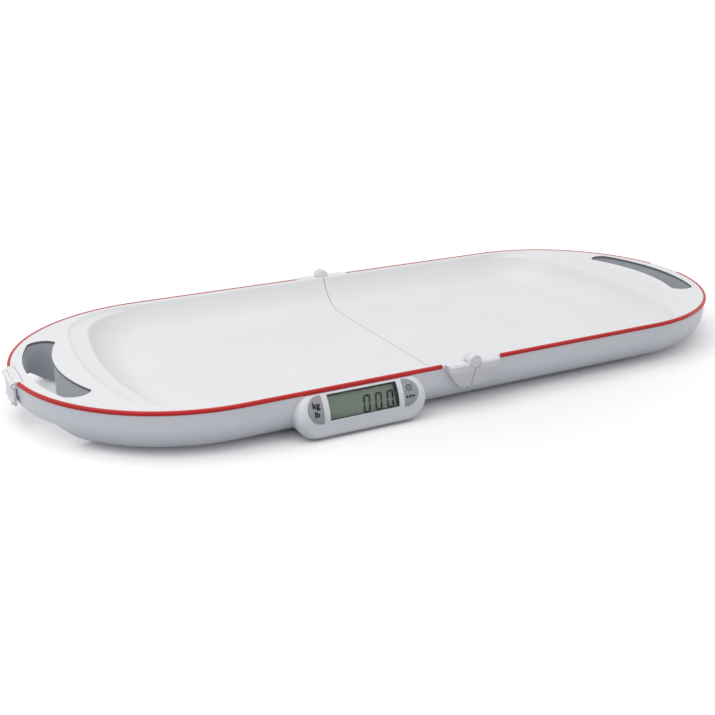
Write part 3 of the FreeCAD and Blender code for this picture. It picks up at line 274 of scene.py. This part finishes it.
def brushed_lines():
    """Fine drawn or brushed lines along one direction: noise stretched by the given scale."""
    group, given, made = new_group(
        "brushed_lines", [("Scale", "Vector", (60.0, 4000.0, 4000.0)), ("Depth", "Float", 0.1)],
        [("Lines", "Float"), ("Normal", "Vector")])
    at = put(group, "TexCoord").outputs["Object"]
    at = put(group, "VectorMath", {"operation": "MULTIPLY"}, i0=at, i1=given.outputs["Scale"]).outputs[0]
    lines = noise(group, at, 1.0, 3.0, 0.65)
    bump = put(group, "Bump", None, Strength=given.outputs["Depth"], Distance=LINE_RELIEF, Height=lines)
    group.links.new(lines, made.inputs["Lines"])
    group.links.new(bump.outputs[0], made.inputs["Normal"])
    return group


def scuffs():
    """Sparse hair scratches: thin level lines of two noises stretched across each other."""
    group, given, made = new_group(
        "scuffs", [("Scale", "Float", 30.0), ("Amount", "Float", 0.5)], [("Mask", "Float")])
    masks = []
    for turn, long_way in ((0.6, (1.0, 9.0, 1.0)), (-0.9, (8.0, 1.0, 1.0))):
        field = noise(group, place(group, long_way, (0.2, 0.1, turn)), given.outputs["Scale"], 4.0, 0.55)
        near = maths(group, "ABSOLUTE", maths(group, "SUBTRACT", field, 0.5))
        masks.append(stretch(group, near, 0.0, SCUFF_LINE, 1.0, 0.0))
    both = maths(group, "MAXIMUM", masks[0], masks[1])
    where = stretch(group, noise(group, place(group), SCUFF_PATCH_SCALE, 2.0), 0.5, 0.62)
    both = maths(group, "MULTIPLY", maths(group, "MULTIPLY", both, where), given.outputs["Amount"], True)
    group.links.new(both, made.inputs["Mask"])
    return group


SKIN, EDGE_WEAR_AND_HIGHLIGHT, LINES, SCUFFS = moulded_skin(), edge_wear_and_highlight(), brushed_lines(), scuffs()


def use(tree, group, **inputs):
    return put(tree, "Group", {"node_tree": group}, **inputs).outputs


def new_finish(name):
    finish = bpy.data.materials.new(name)
    finish.use_nodes = True
    tree = finish.node_tree
    return finish, tree, tree.nodes["Principled BSDF"]


def feed(tree, shader, **inputs):
    for name, value in inputs.items():
        socket = shader.inputs[name.replace("_", " ")]
        if isinstance(value, bpy.types.NodeSocket):
            tree.links.new(value, socket)
        else:
            socket.default_value = value


def plastic(name, colour, cloud, gloss, grain=2200.0, depth=0.15, edge_tone=None, edge_width=0.0006, scuffed=0.0):
    """A moulded plastic: skin, scuffs that catch the light, and edges lightened towards another colour: wear on
    the black parts, a painted edge highlight on the white and grey ones.
    """
    finish, tree, shader = new_finish(name)
    skin = use(tree, SKIN, Colour=(*colour, 1), Cloud_Colour=(*cloud, 1), Gloss=gloss,
               Grain_Scale=grain, Grain_Depth=depth)
    colour, rough = skin["Colour"], skin["Roughness"]
    if scuffed:
        mask = use(tree, SCUFFS, Scale=26.0, Amount=scuffed)["Mask"]
        rough = maths(tree, "ADD", rough, maths(tree, "MULTIPLY", mask, 0.25))
    # edges lightened: wear on the black parts, a painted edge highlight on the white and grey ones
    if edge_tone:
        mask = use(tree, EDGE_WEAR_AND_HIGHLIGHT, Width=edge_width, Reach=5.0)["Mask"]
        colour = blend_colour(tree, mask, colour, (*edge_tone, 1))
        rough = maths(tree, "SUBTRACT", rough, maths(tree, "MULTIPLY", mask, 0.12))
    feed(tree, shader, Base_Color=colour, Roughness=rough, Normal=skin["Normal"], IOR=1.5)
    return finish


def tray_skin(finish):
    """Paints the upright cut edges of the hand slots dark grey: the grips' lining, taken far darker than the
    grips' own grey as painted shade along the slots' top edge.
    """
    tree = finish.node_tree
    shader = tree.nodes["Principled BSDF"]
    white = shader.inputs["Base Color"].links[0].from_socket
    at = put(tree, "SeparateXYZ", None, Vector=place(tree)).outputs
    upright = put(tree, "SeparateXYZ", None, Vector=put(tree, "TexCoord").outputs["Normal"]).outputs["Z"]
    mask = maths(tree, "LESS_THAN", maths(tree, "ABSOLUTE", upright), UPRIGHT)
    for along, low, high in ((at["X"], SLOT_EDGE_IN, SLOT_EDGE_OUT), (at["Y"], -1.0, SLOT_EDGE_HALF)):
        size = maths(tree, "ABSOLUTE", along)
        inside = maths(tree, "MULTIPLY", maths(tree, "GREATER_THAN", size, low * MM),
                       maths(tree, "LESS_THAN", size, high * MM))
        mask = maths(tree, "MULTIPLY", mask, inside)
    tree.links.new(blend_colour(tree, mask, white, (*SLOT_EDGE_SHADE, 1)), shader.inputs["Base Color"])
    return finish


def metal(name, colour, dark, rough, scale, depth=0.1):
    """A drawn or plated metal: fine lines along one direction, darker in clouds."""
    finish, tree, shader = new_finish(name)
    lines = use(tree, LINES, Scale=scale, Depth=depth)
    tone = stretch(tree, lines["Lines"], 0.3, 0.7)
    cloud = stretch(tree, noise(tree, place(tree), METAL_CLOUD_SCALE, 3.0), 0.35, 0.65)
    colour = blend_colour(tree, maths(tree, "MULTIPLY", tone, cloud), (*colour, 1), (*dark, 1))
    gloss = maths(tree, "ADD", rough, stretch(tree, tone, 0, 1, -0.06, 0.08))
    feed(tree, shader, Base_Color=colour, Roughness=gloss, Normal=lines["Normal"], Metallic=1.0)
    return finish


def red_strip():
    """Soft red strip: deeper red in clouds along its length, a slight satin sheen on top."""
    finish, tree, shader = new_finish("red_strip")
    skin = use(tree, SKIN, Colour=(0.56, 0.014, 0.014, 1), Cloud_Colour=(0.50, 0.011, 0.011, 1),
               Gloss=0.42, Grain_Scale=1500.0, Grain_Depth=0.2)
    feed(tree, shader, Base_Color=skin["Colour"], Roughness=skin["Roughness"], Normal=skin["Normal"], IOR=1.48,
         Specular_IOR_Level=0.35)
    return finish


def clear_window():
    """Clear lens: its low index stands for a coat against glare, and wiping marks show in its gloss alone."""
    finish, tree, shader = new_finish("clear_lens")
    mask = use(tree, SCUFFS, Scale=60.0, Amount=0.6)["Mask"]
    feed(tree, shader, Base_Color=(0.96, 0.975, 0.97, 1), Metallic=0.0, Transmission_Weight=1.0, IOR=1.20,
         Roughness=stretch(tree, mask, 0, 1, 0.02, 0.12))
    return finish


def panel_glass():
    """Grey-green reflective panel: a slow tone from side to side and the faint weave of its back film."""
    finish, tree, shader = new_finish("panel_green")
    at = place(tree)
    side = put(tree, "SeparateXYZ", None, Vector=at).outputs["X"]
    slow = stretch(tree, side, (POD_X - PANEL_HALF) * MM, (POD_X + PANEL_HALF) * MM)
    colour = blend_colour(tree, slow, (0.130, 0.174, 0.128, 1), (0.138, 0.170, 0.138, 1))
    fine = stretch(tree, noise(tree, at, PANEL_WEAVE_SCALE, 1.0), 0.3, 0.7, 0.96, 1.03)
    feed(tree, shader, Base_Color=blend_colour(tree, 1.0, colour, fine, "MULTIPLY"),
         Roughness=stretch(tree, fine, 0.96, 1.03, 0.42, 0.5), IOR=1.5)
    return finish


def board_lacquer():
    """Green board: copper tracks under lacquer, as the joints of a fine brick pattern."""
    finish, tree, shader = new_finish("board_lacquer")
    at = place(tree)
    bricks = put(tree, "TexBrick", {"offset": 0.37}, Vector=at, Scale=TRACK_SCALE, Mortar_Size=0.06,
                 Color1=(0.012, 0.10, 0.045, 1), Color2=(0.010, 0.085, 0.04, 1), Mortar=(0.03, 0.19, 0.08, 1))
    bump = put(tree, "Bump", None, Strength=0.2, Distance=TRACK_RELIEF, Height=bricks.outputs["Fac"])
    gloss = stretch(tree, noise(tree, at, LACQUER_SCALE), 0.3, 0.7, 0.24, 0.36)
    feed(tree, shader, Base_Color=bricks.outputs["Color"], Roughness=gloss, Normal=bump.outputs[0])
    return finish


def striped_rubber():
    """Contact strip: conducting and insulating layers a fifth of a millimetre wide."""
    finish, tree, shader = new_finish("striped_rubber")
    at = place(tree)
    wave = put(tree, "TexWave", {"bands_direction": "X"}, Vector=at, Scale=RUBBER_BAND_SCALE, Distortion=0.2)
    stripe = stretch(tree, wave.outputs["Fac"], 0.45, 0.55)
    feed(tree, shader, Base_Color=blend_colour(tree, stripe, (0.02, 0.02, 0.022, 1), (0.55, 0.32, 0.34, 1)),
         Roughness=stretch(tree, stripe, 0, 1, 0.75, 0.6))
    return finish


def cell_jacket():
    """Battery jacket: a silver sleeve with a dark band at one end, bare steel at the very ends."""
    finish, tree, shader = new_finish("cell_jacket")
    at = place(tree)
    along = put(tree, "SeparateXYZ", None, Vector=at).outputs["X"]
    from_middle = maths(tree, "ABSOLUTE", maths(tree, "SUBTRACT", along, POD_X * MM))
    band = maths(tree, "GREATER_THAN", from_middle, CELL_BAND * MM)
    bare = maths(tree, "GREATER_THAN", from_middle, CELL_BARE * MM)
    cloud = stretch(tree, noise(tree, at, SLEEVE_SCALE, 3.0), 0.35, 0.65)
    sleeve = blend_colour(tree, cloud, (0.42, 0.44, 0.47, 1), (0.36, 0.38, 0.41, 1))
    colour = blend_colour(tree, band, sleeve, (0.030, 0.034, 0.042, 1))
    colour = blend_colour(tree, bare, colour, (0.60, 0.58, 0.55, 1))
    gloss = maths(tree, "ADD", 0.30, maths(tree, "MULTIPLY", cloud, 0.1))
    feed(tree, shader, Base_Color=colour, Roughness=gloss, Metallic=stretch(tree, bare, 0, 1, 0.35, 1.0))
    return finish


def foot_grip():
    """Dark rubber, dusty where it meets the table."""
    finish, tree, shader = new_finish("foot_grip")
    skin = use(tree, SKIN, Colour=(0.055, 0.057, 0.062, 1), Cloud_Colour=(0.07, 0.072, 0.077, 1),
               Gloss=0.72, Grain_Scale=1400.0, Grain_Depth=0.35)
    at = place(tree)
    height = put(tree, "SeparateXYZ", None, Vector=at).outputs["Z"]
    low = stretch(tree, height, 0.0, DUST_HEIGHT * MM, 1.0, 0.0)
    dust = maths(tree, "MULTIPLY", low, stretch(tree, noise(tree, at, DUST_SCALE, 3.0), 0.2, 0.9), True)
    feed(tree, shader, Base_Color=blend_colour(tree, dust, skin["Colour"], (0.16, 0.158, 0.152, 1)),
         Roughness=skin["Roughness"], Normal=skin["Normal"])
    return finish


finishes = {
    "tray_white": tray_skin(plastic("tray_satin", (0.785, 0.793, 0.806), (0.765, 0.775, 0.790), 0.40, 1800.0,
                                    0.10, scuffed=0.6)),
    "shell_white": plastic("shell_satin", (0.750, 0.762, 0.805), (0.728, 0.740, 0.785), 0.44, 2200.0, 0.16,
                           WHITE_EDGE_HIGHLIGHT, 0.0006),
    "hinge_white": plastic("hinge_satin", (0.775, 0.780, 0.805), (0.755, 0.760, 0.785), 0.40, 2400.0, 0.10,
                           WHITE_EDGE_HIGHLIGHT, 0.0005),
    "cover_white": plastic("cover_satin", (0.750, 0.762, 0.805), (0.728, 0.740, 0.785), 0.46, 2000.0, 0.22,
                           WHITE_EDGE_HIGHLIGHT, 0.0006),
    "red_trim": red_strip(),
    # the slot liners' grey: partly their own colour, partly painted shade standing in for the dark deep inside
    # the hand slots
    "grip_grey": plastic("grip_grey_and_slot_shade", (0.565, 0.580, 0.620), (0.525, 0.540, 0.580), 0.62, 1500.0, 0.30,
                         (0.62, 0.63, 0.66), 0.0008),
    "foot_rubber": foot_grip(),
    "cell_steel": metal("cell_plated_steel", (0.62, 0.62, 0.63), (0.48, 0.48, 0.50), 0.34, (90.0, 3500.0, 900.0)),
    "screw_steel": metal("screw_zinc", (0.56, 0.57, 0.59), (0.40, 0.41, 0.43), 0.32, (2400.0, 2400.0, 300.0)),
    "pin_steel": metal("pin_ground_steel", (0.66, 0.66, 0.67), (0.52, 0.52, 0.54), 0.26, (5200.0, 120.0, 5200.0)),
    "button_grey": plastic("button_soft_grey", (0.325, 0.337, 0.366), (0.305, 0.317, 0.346), 0.55, 1900.0, 0.22,
                           (0.50, 0.51, 0.54), 0.0005),
    "switch_black": plastic("switch_black", (0.020, 0.020, 0.022), (0.026, 0.026, 0.028), 0.40, 1900.0, 0.2,
                            (0.07, 0.07, 0.07), 0.0002),
    "window_clear": clear_window(),
    "lcd_glass": panel_glass(),
    "connector_rubber": striped_rubber(),
    "board_green": board_lacquer(),
    "chip_black": plastic("chip_epoxy", (0.018, 0.018, 0.019), (0.024, 0.024, 0.025), 0.58, 5200.0, 0.4,
                          (0.06, 0.06, 0.06), 0.0002),
    "battery_metal": cell_jacket(),
    "contact_nickel": metal("contact_nickel", (0.64, 0.60, 0.54), (0.50, 0.47, 0.42), 0.24,
                            (900.0, 900.0, 4000.0)),
}
for part in nodes.values():
    for held in part.material_slots:
        held.material = finishes[held.material.name]


# ---- small mouldings with worn round edges ----

def softened(name, radius):
    """Stands in for a CAD node: its triangles joined into flats, and its sharp edges rounded."""
    mesh = nodes[name].data.copy()
    work = bmesh.new()
    work.from_mesh(mesh)
    bmesh.ops.remove_doubles(work, verts=work.verts, dist=SAME_POINT)
    bmesh.ops.dissolve_limit(work, angle_limit=SAME_FLAT, verts=work.verts, edges=work.edges)
    work.to_mesh(mesh)
    work.free()
    mesh.update()
    piece = bpy.data.objects.new(name + "_soft", mesh)
    bpy.context.scene.collection.objects.link(piece)
    edge = piece.modifiers.new("round_edges", "BEVEL")
    edge.width = radius * MM
    edge.segments = SOFT_EDGE_STEPS
    edge.limit_method = "ANGLE"
    edge.angle_limit = SOFT_EDGE_ANGLE
    edge.harden_normals = True
    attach(piece, body_of(nodes[name])[0])
    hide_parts(name)


for name, radius in SOFT_EDGES.items():
    softened(name, radius)


# ---- pieces on the display ----

def new_piece(name, points, faces, finish, body):
    """Points in millimetres, faces as lists of their numbers; the piece's place is in its mesh."""
    mesh = bpy.data.meshes.new(name)
    mesh.from_pydata((points * MM).tolist(), [], faces)
    mesh.materials.append(finish)
    mesh.update()
    piece = bpy.data.objects.new(name, mesh)
    bpy.context.scene.collection.objects.link(piece)
    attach(piece, body)
    return piece


def off_face(p):
    """From x along the pod, y up the face and z out of it, to the frame's millimetres."""
    p = np.asarray(p, float)
    up, out = math.sin(FACE_TILT), math.cos(FACE_TILT)
    return np.stack([
        POD_X + p[..., 0],
        FACE_AXIS_Y + p[..., 1] * up - p[..., 2] * out,
        FACE_AXIS_Z + p[..., 1] * out + p[..., 2] * up], -1)


def round_face(p, radius):
    """As off_face, with y measured along the curved face and z out from that radius."""
    p = np.asarray(p, float)
    angle = p[..., 1] / radius
    r = radius + p[..., 2]
    return off_face(np.stack([p[..., 0], r * np.sin(angle), r * np.cos(angle)], -1))


def plates(outlines, low, high):
    """Flat closed outlines given thickness: each is a loop of points (x, y), with its sides and both ends."""
    points, faces, first = [], [], 0
    for loop in outlines:
        loop = np.asarray(loop, float)
        n = len(loop)
        for z in (low, high):
            points.append(np.column_stack([loop, np.full(n, z)]))
        k = np.arange(n)
        following = np.roll(k, -1)
        sides = np.column_stack([k, following, following + n, k + n]) + first
        faces += sides.tolist()
        faces += [(k[::-1] + first).tolist(), (k + n + first).tolist()]
        first += 2 * n
    return np.vstack(points), faces


def zero_segments():
    """The six segments of a nought: bars whose ends are cut at 45 degrees where they meet."""
    w, s, g = DIGIT_WIDE, STROKE, SEGMENT_GAP
    waist = 1.1 * g                    # from the middle to the points of the side bars
    slant = waist + 0.3 * s            # and to their shoulders
    tall = DIGIT_HIGH - DIGIT_LOW
    mid = tall / 2
    top = [(g, tall), (w - g, tall), (w - s - g, tall - s), (s + g, tall - s)]
    left = [(0, tall - g), (s, tall - s - g), (s, mid + slant), (s / 2, mid + waist), (0, mid + slant)]
    right = [(w - x, y) for x, y in left][::-1]
    upper = [top[::-1], left[::-1], right[::-1]]
    lower = [[(x, tall - y) for x, y in loop][::-1] for loop in upper]
    return upper + lower


def anticlockwise(loop):
    """The loop in anticlockwise order, seen from the front."""
    x, y = np.asarray(loop, float).T
    area = np.dot(x, np.roll(y, -1)) - np.dot(y, np.roll(x, -1))
    return loop if area > 0 else loop[::-1]


def segment_ink():
    """The near-black of an energised segment, a little uneven."""
    finish, tree, shader = new_finish("segment_black")
    uneven = stretch(tree, noise(tree, place(tree), INK_SCALE), 0.3, 0.7)
    colour = blend_colour(tree, uneven, (0.004, 0.006, 0.005, 1), (0.007, 0.010, 0.008, 1))
    feed(tree, shader, Base_Color=colour, Roughness=0.55, Specular_IOR_Level=0.2)
    return finish


segments = []
for digit_left in DIGIT_LEFT:
    for outline in zero_segments():
        segments.append(anticlockwise([(digit_left + x + LEAN * y, DIGIT_LOW + y) for x, y in outline]))
points, faces = plates(segments, PANEL_FRONT + SEGMENT_FOOT, PANEL_FRONT + SEGMENT_FACE)
new_piece("lcd_digits", off_face(points), faces, segment_ink(), "left_half")


def gasket_points():
    """Frame between panel and window: an inner and an outer loop, each from the panel up to the curved lens.

    The height at y is the lens's inner circle less a hair: sqrt(r^2 - y^2).
    """
    reach = LENS_BACK - GASKET_GAP
    n = 2 * GASKET_STEPS
    loops = []
    for grow in (0.0, GASKET_WALL):
        side = np.linspace(GASKET_LOW - grow, GASKET_HIGH + grow, GASKET_STEPS)
        x = np.repeat([GASKET_RIGHT + grow, GASKET_LEFT - grow], GASKET_STEPS)
        y = np.concatenate([side, side[::-1]])
        for z in (np.full(n, PANEL_FRONT + GASKET_FOOT), np.sqrt(reach**2 - y**2)):
            loops.append(np.column_stack([x, y, z]))
    k = np.arange(n)
    following = np.roll(k, -1)
    inner_low, inner_high, outer_low, outer_high = (i * n for i in range(4))

    def band(a, b):
        return np.column_stack([k + a, following + a, following + b, k + b])

    faces = np.vstack([
        band(outer_low, outer_high), band(outer_high, inner_high),
        band(inner_high, inner_low), band(inner_low, outer_low)])
    return np.vstack(loops), faces.tolist()


# a black frame round the panel, and in part painted shade: its near-black stands for the shade inside the
# window's recess
gasket_black_and_shade = plastic("gasket_black_and_shade", (0.014, 0.015, 0.015), (0.02, 0.021, 0.021), 0.6, 1600.0, 0.25)
points, faces = gasket_points()
new_piece("display_gasket_and_shade", off_face(points), faces, gasket_black_and_shade, "left_half")


# ---- printed marks on the buttons ----

def lettering(name, text, size, at):
    """The unit's letters as flat faces round a place, cut in level strips."""
    curve = bpy.data.curves.new(name, "FONT")
    curve.body = text
    curve.size = size
    curve.align_x = "CENTER"
    curve.align_y = "CENTER"
    curve.offset = size * LETTER_SWELL
    curve.resolution_u = 4
    carrier = bpy.data.objects.new(name + "_curve", curve)
    bpy.context.scene.collection.objects.link(carrier)
    flat = bpy.data.meshes.new_from_object(carrier)
    bpy.data.objects.remove(carrier)
    cut = bmesh.new()
    cut.from_mesh(flat)
    for height in np.arange(-0.6 * size, 0.6 * size, LETTER_STRIP):    # past the letters at both ends
        bmesh.ops.bisect_plane(cut, geom=cut.verts[:] + cut.edges[:] + cut.faces[:],
                               plane_co=(0, height, 0), plane_no=(0, 1, 0))
    cut.to_mesh(flat)
    cut.free()
    co = np.zeros(len(flat.vertices) * 3)
    flat.vertices.foreach_get("co", co)
    co = co.reshape(-1, 3) + (*at, 0.0)
    faces = [list(p.vertices) for p in flat.polygons]
    bpy.data.meshes.remove(flat)
    return co, faces


def ring(centre, inner, outer, steps=40):
    """A flat annulus: two circles joined by quads."""
    t = np.linspace(0, 2 * np.pi, steps, endpoint=False)
    loops = [np.column_stack([centre[0] + r * np.cos(t), centre[1] + r * np.sin(t), np.zeros(steps)])
             for r in (inner, outer)]
    k = np.arange(steps)
    following = np.roll(k, -1)
    return np.vstack(loops), np.column_stack([k + steps, following + steps, following, k]).tolist()


def patch(corners):
    return np.array([(x, y, 0.0) for x, y in corners]), [list(range(len(corners)))]


def printed(name, shapes, body):
    """Flat shapes joined in one mesh and laid on the cap as a thin layer of ink.

    A point p of the drawing gives p + INK_TOP in the ink's face and p - INK_SUNK in its back. An edge that
    only one face uses gets a side.
    """
    points, faces, first = [], [], 0
    for p, f in shapes:
        points.append(p)
        faces += [[v + first for v in face] for face in f]
        first += len(p)
    points = np.vstack(points)
    both = np.vstack([points + (0, 0, INK_TOP), points - (0, 0, INK_SUNK)])
    edges = {pair for face in faces for pair in zip(face, face[1:] + face[:1])}
    sides = [[b, a, a + first, b + first] for a, b in sorted(edges) if (b, a) not in edges]
    backs = [[v + first for v in face[::-1]] for face in faces]
    new_piece(name, round_face(both, CAP_RADIUS), faces + backs + sides, print_ink, body)


print_ink = plastic("print_black", (0.010, 0.011, 0.014), (0.016, 0.017, 0.020), 0.5, 2600.0, 0.1)
print_ink.node_tree.nodes["Principled BSDF"].inputs["Specular IOR Level"].default_value = 0.2
printed("unit_marks", [
    lettering("kg_letters", "kg", UNIT_SIZE, UNIT_AT),
    lettering("lb_letters", "lb", POUND_SIZE, POUND_AT)], "unit_key")


def arrow(tip, way):
    """A filled arrow head and its shaft, pointing along x: way is 1 or -1."""
    x, y = tip
    neck, tail = x - way * ARROW_HEAD, x - way * ARROW_TAIL
    head = patch([(x, y), (neck, y + ARROW_HALF), (neck, y - ARROW_HALF)][::way])
    shaft = patch([(neck, y - SHAFT_HALF), (neck, y + SHAFT_HALF),
                   (tail, y + SHAFT_HALF), (tail, y - SHAFT_HALF)][::way])
    return [head, shaft]


bar_half, bar_reach = POWER_BAR
printed("power_marks", [
    ring(POWER_AT, *POWER_RING),
    patch([(POWER_AT[0] - bar_half, POWER_AT[1] - bar_reach), (POWER_AT[0] + bar_half, POWER_AT[1] - bar_reach),
           (POWER_AT[0] + bar_half, POWER_AT[1] + bar_reach), (POWER_AT[0] - bar_half, POWER_AT[1] + bar_reach)]),
    ring(ZERO_AT, *ZERO_RING),
    *arrow((ZERO_AT[0] - ARROW_TIP, ZERO_AT[1]), 1), *arrow((ZERO_AT[0] + ARROW_TIP, ZERO_AT[1]), -1)],
    "power_key")


# ---- table, light and room ----

def seen_rays(tree):
    """1 for rays that show the surroundings themselves: straight, mirrored or through glass."""
    path = put(tree, "LightPath").outputs
    seen = maths(tree, "MAXIMUM", path["Is Camera Ray"], path["Is Glossy Ray"])
    return maths(tree, "MAXIMUM", seen, path["Is Transmission Ray"])


def white_table():
    """A table that shows plain white far off, and only its light and shadow near the scale."""
    mesh = bpy.data.meshes.new("table")
    corners = [(-1, -1), (1, -1), (1, 1), (-1, 1)]
    mesh.from_pydata([(x * TABLE_HALF, y * TABLE_HALF, 0) for x, y in corners], [], [(0, 1, 2, 3)])
    finish, tree, shader = new_finish("white_table")
    colour = blend_colour(tree, seen_rays(tree), (*TABLE_BOUNCE, 1), (*TABLE_WHITE, 1))
    away = put(tree, "VectorMath", {"operation": "LENGTH"}, i0=place(tree)).outputs["Value"]
    glow = stretch(tree, away, TABLE_NEAR, TABLE_FAR, 0.0, 1.0)
    feed(tree, shader, Base_Color=colour, Roughness=1.0, Specular_IOR_Level=0.0,
         Emission_Color=(1, 1, 1, 1), Emission_Strength=maths(tree, "MULTIPLY", seen_rays(tree), glow))
    mesh.materials.append(finish)
    table = bpy.data.objects.new("table", mesh)
    bpy.context.scene.collection.objects.link(table)


white_table()


def broad_light(name, level, come_from, spread):
    """Light from a wide patch of sky, which gives a level white surface that share of white."""
    data = bpy.data.lights.new(name, "SUN")
    come_from = Vector(come_from).normalized()
    data.energy = level * math.pi / come_from.z
    data.angle = spread
    lamp = bpy.data.objects.new(name, data)
    lamp.rotation_mode = "QUATERNION"
    lamp.rotation_quaternion = come_from.to_track_quat("Z", "Y")
    bpy.context.scene.collection.objects.link(lamp)


def softbox():
    data = bpy.data.lights.new("softbox", "AREA")
    data.shape = "RECTANGLE"
    data.size, data.size_y = SOFTBOX_SIZE
    data.energy = SOFTBOX_WATTS
    lamp = bpy.data.objects.new("softbox", data)
    lamp.location = SOFTBOX_AT
    lamp.rotation_mode = "QUATERNION"
    lamp.rotation_quaternion = Vector(SOFTBOX_AT).to_track_quat("Z", "Y")
    bpy.context.scene.collection.objects.link(lamp)


broad_light("overhead", OVERHEAD_LEVEL, OVERHEAD_FROM, OVERHEAD_SPREAD)
broad_light("front", FRONT_LEVEL, FRONT_FROM, FRONT_SPREAD)
softbox()
room = bpy.data.worlds.new("room")
bpy.context.scene.world = room
room.use_nodes = True
air = room.node_tree.nodes["Background"]
air.inputs["Color"].default_value = (1.0, 1.0, 1.0, 1)
room.node_tree.links.new(
    stretch(room.node_tree, seen_rays(room.node_tree), 0, 1, ROOM_LEVEL, 1.0), air.inputs["Strength"])
bpy.context.scene.view_settings.view_transform = "Standard"
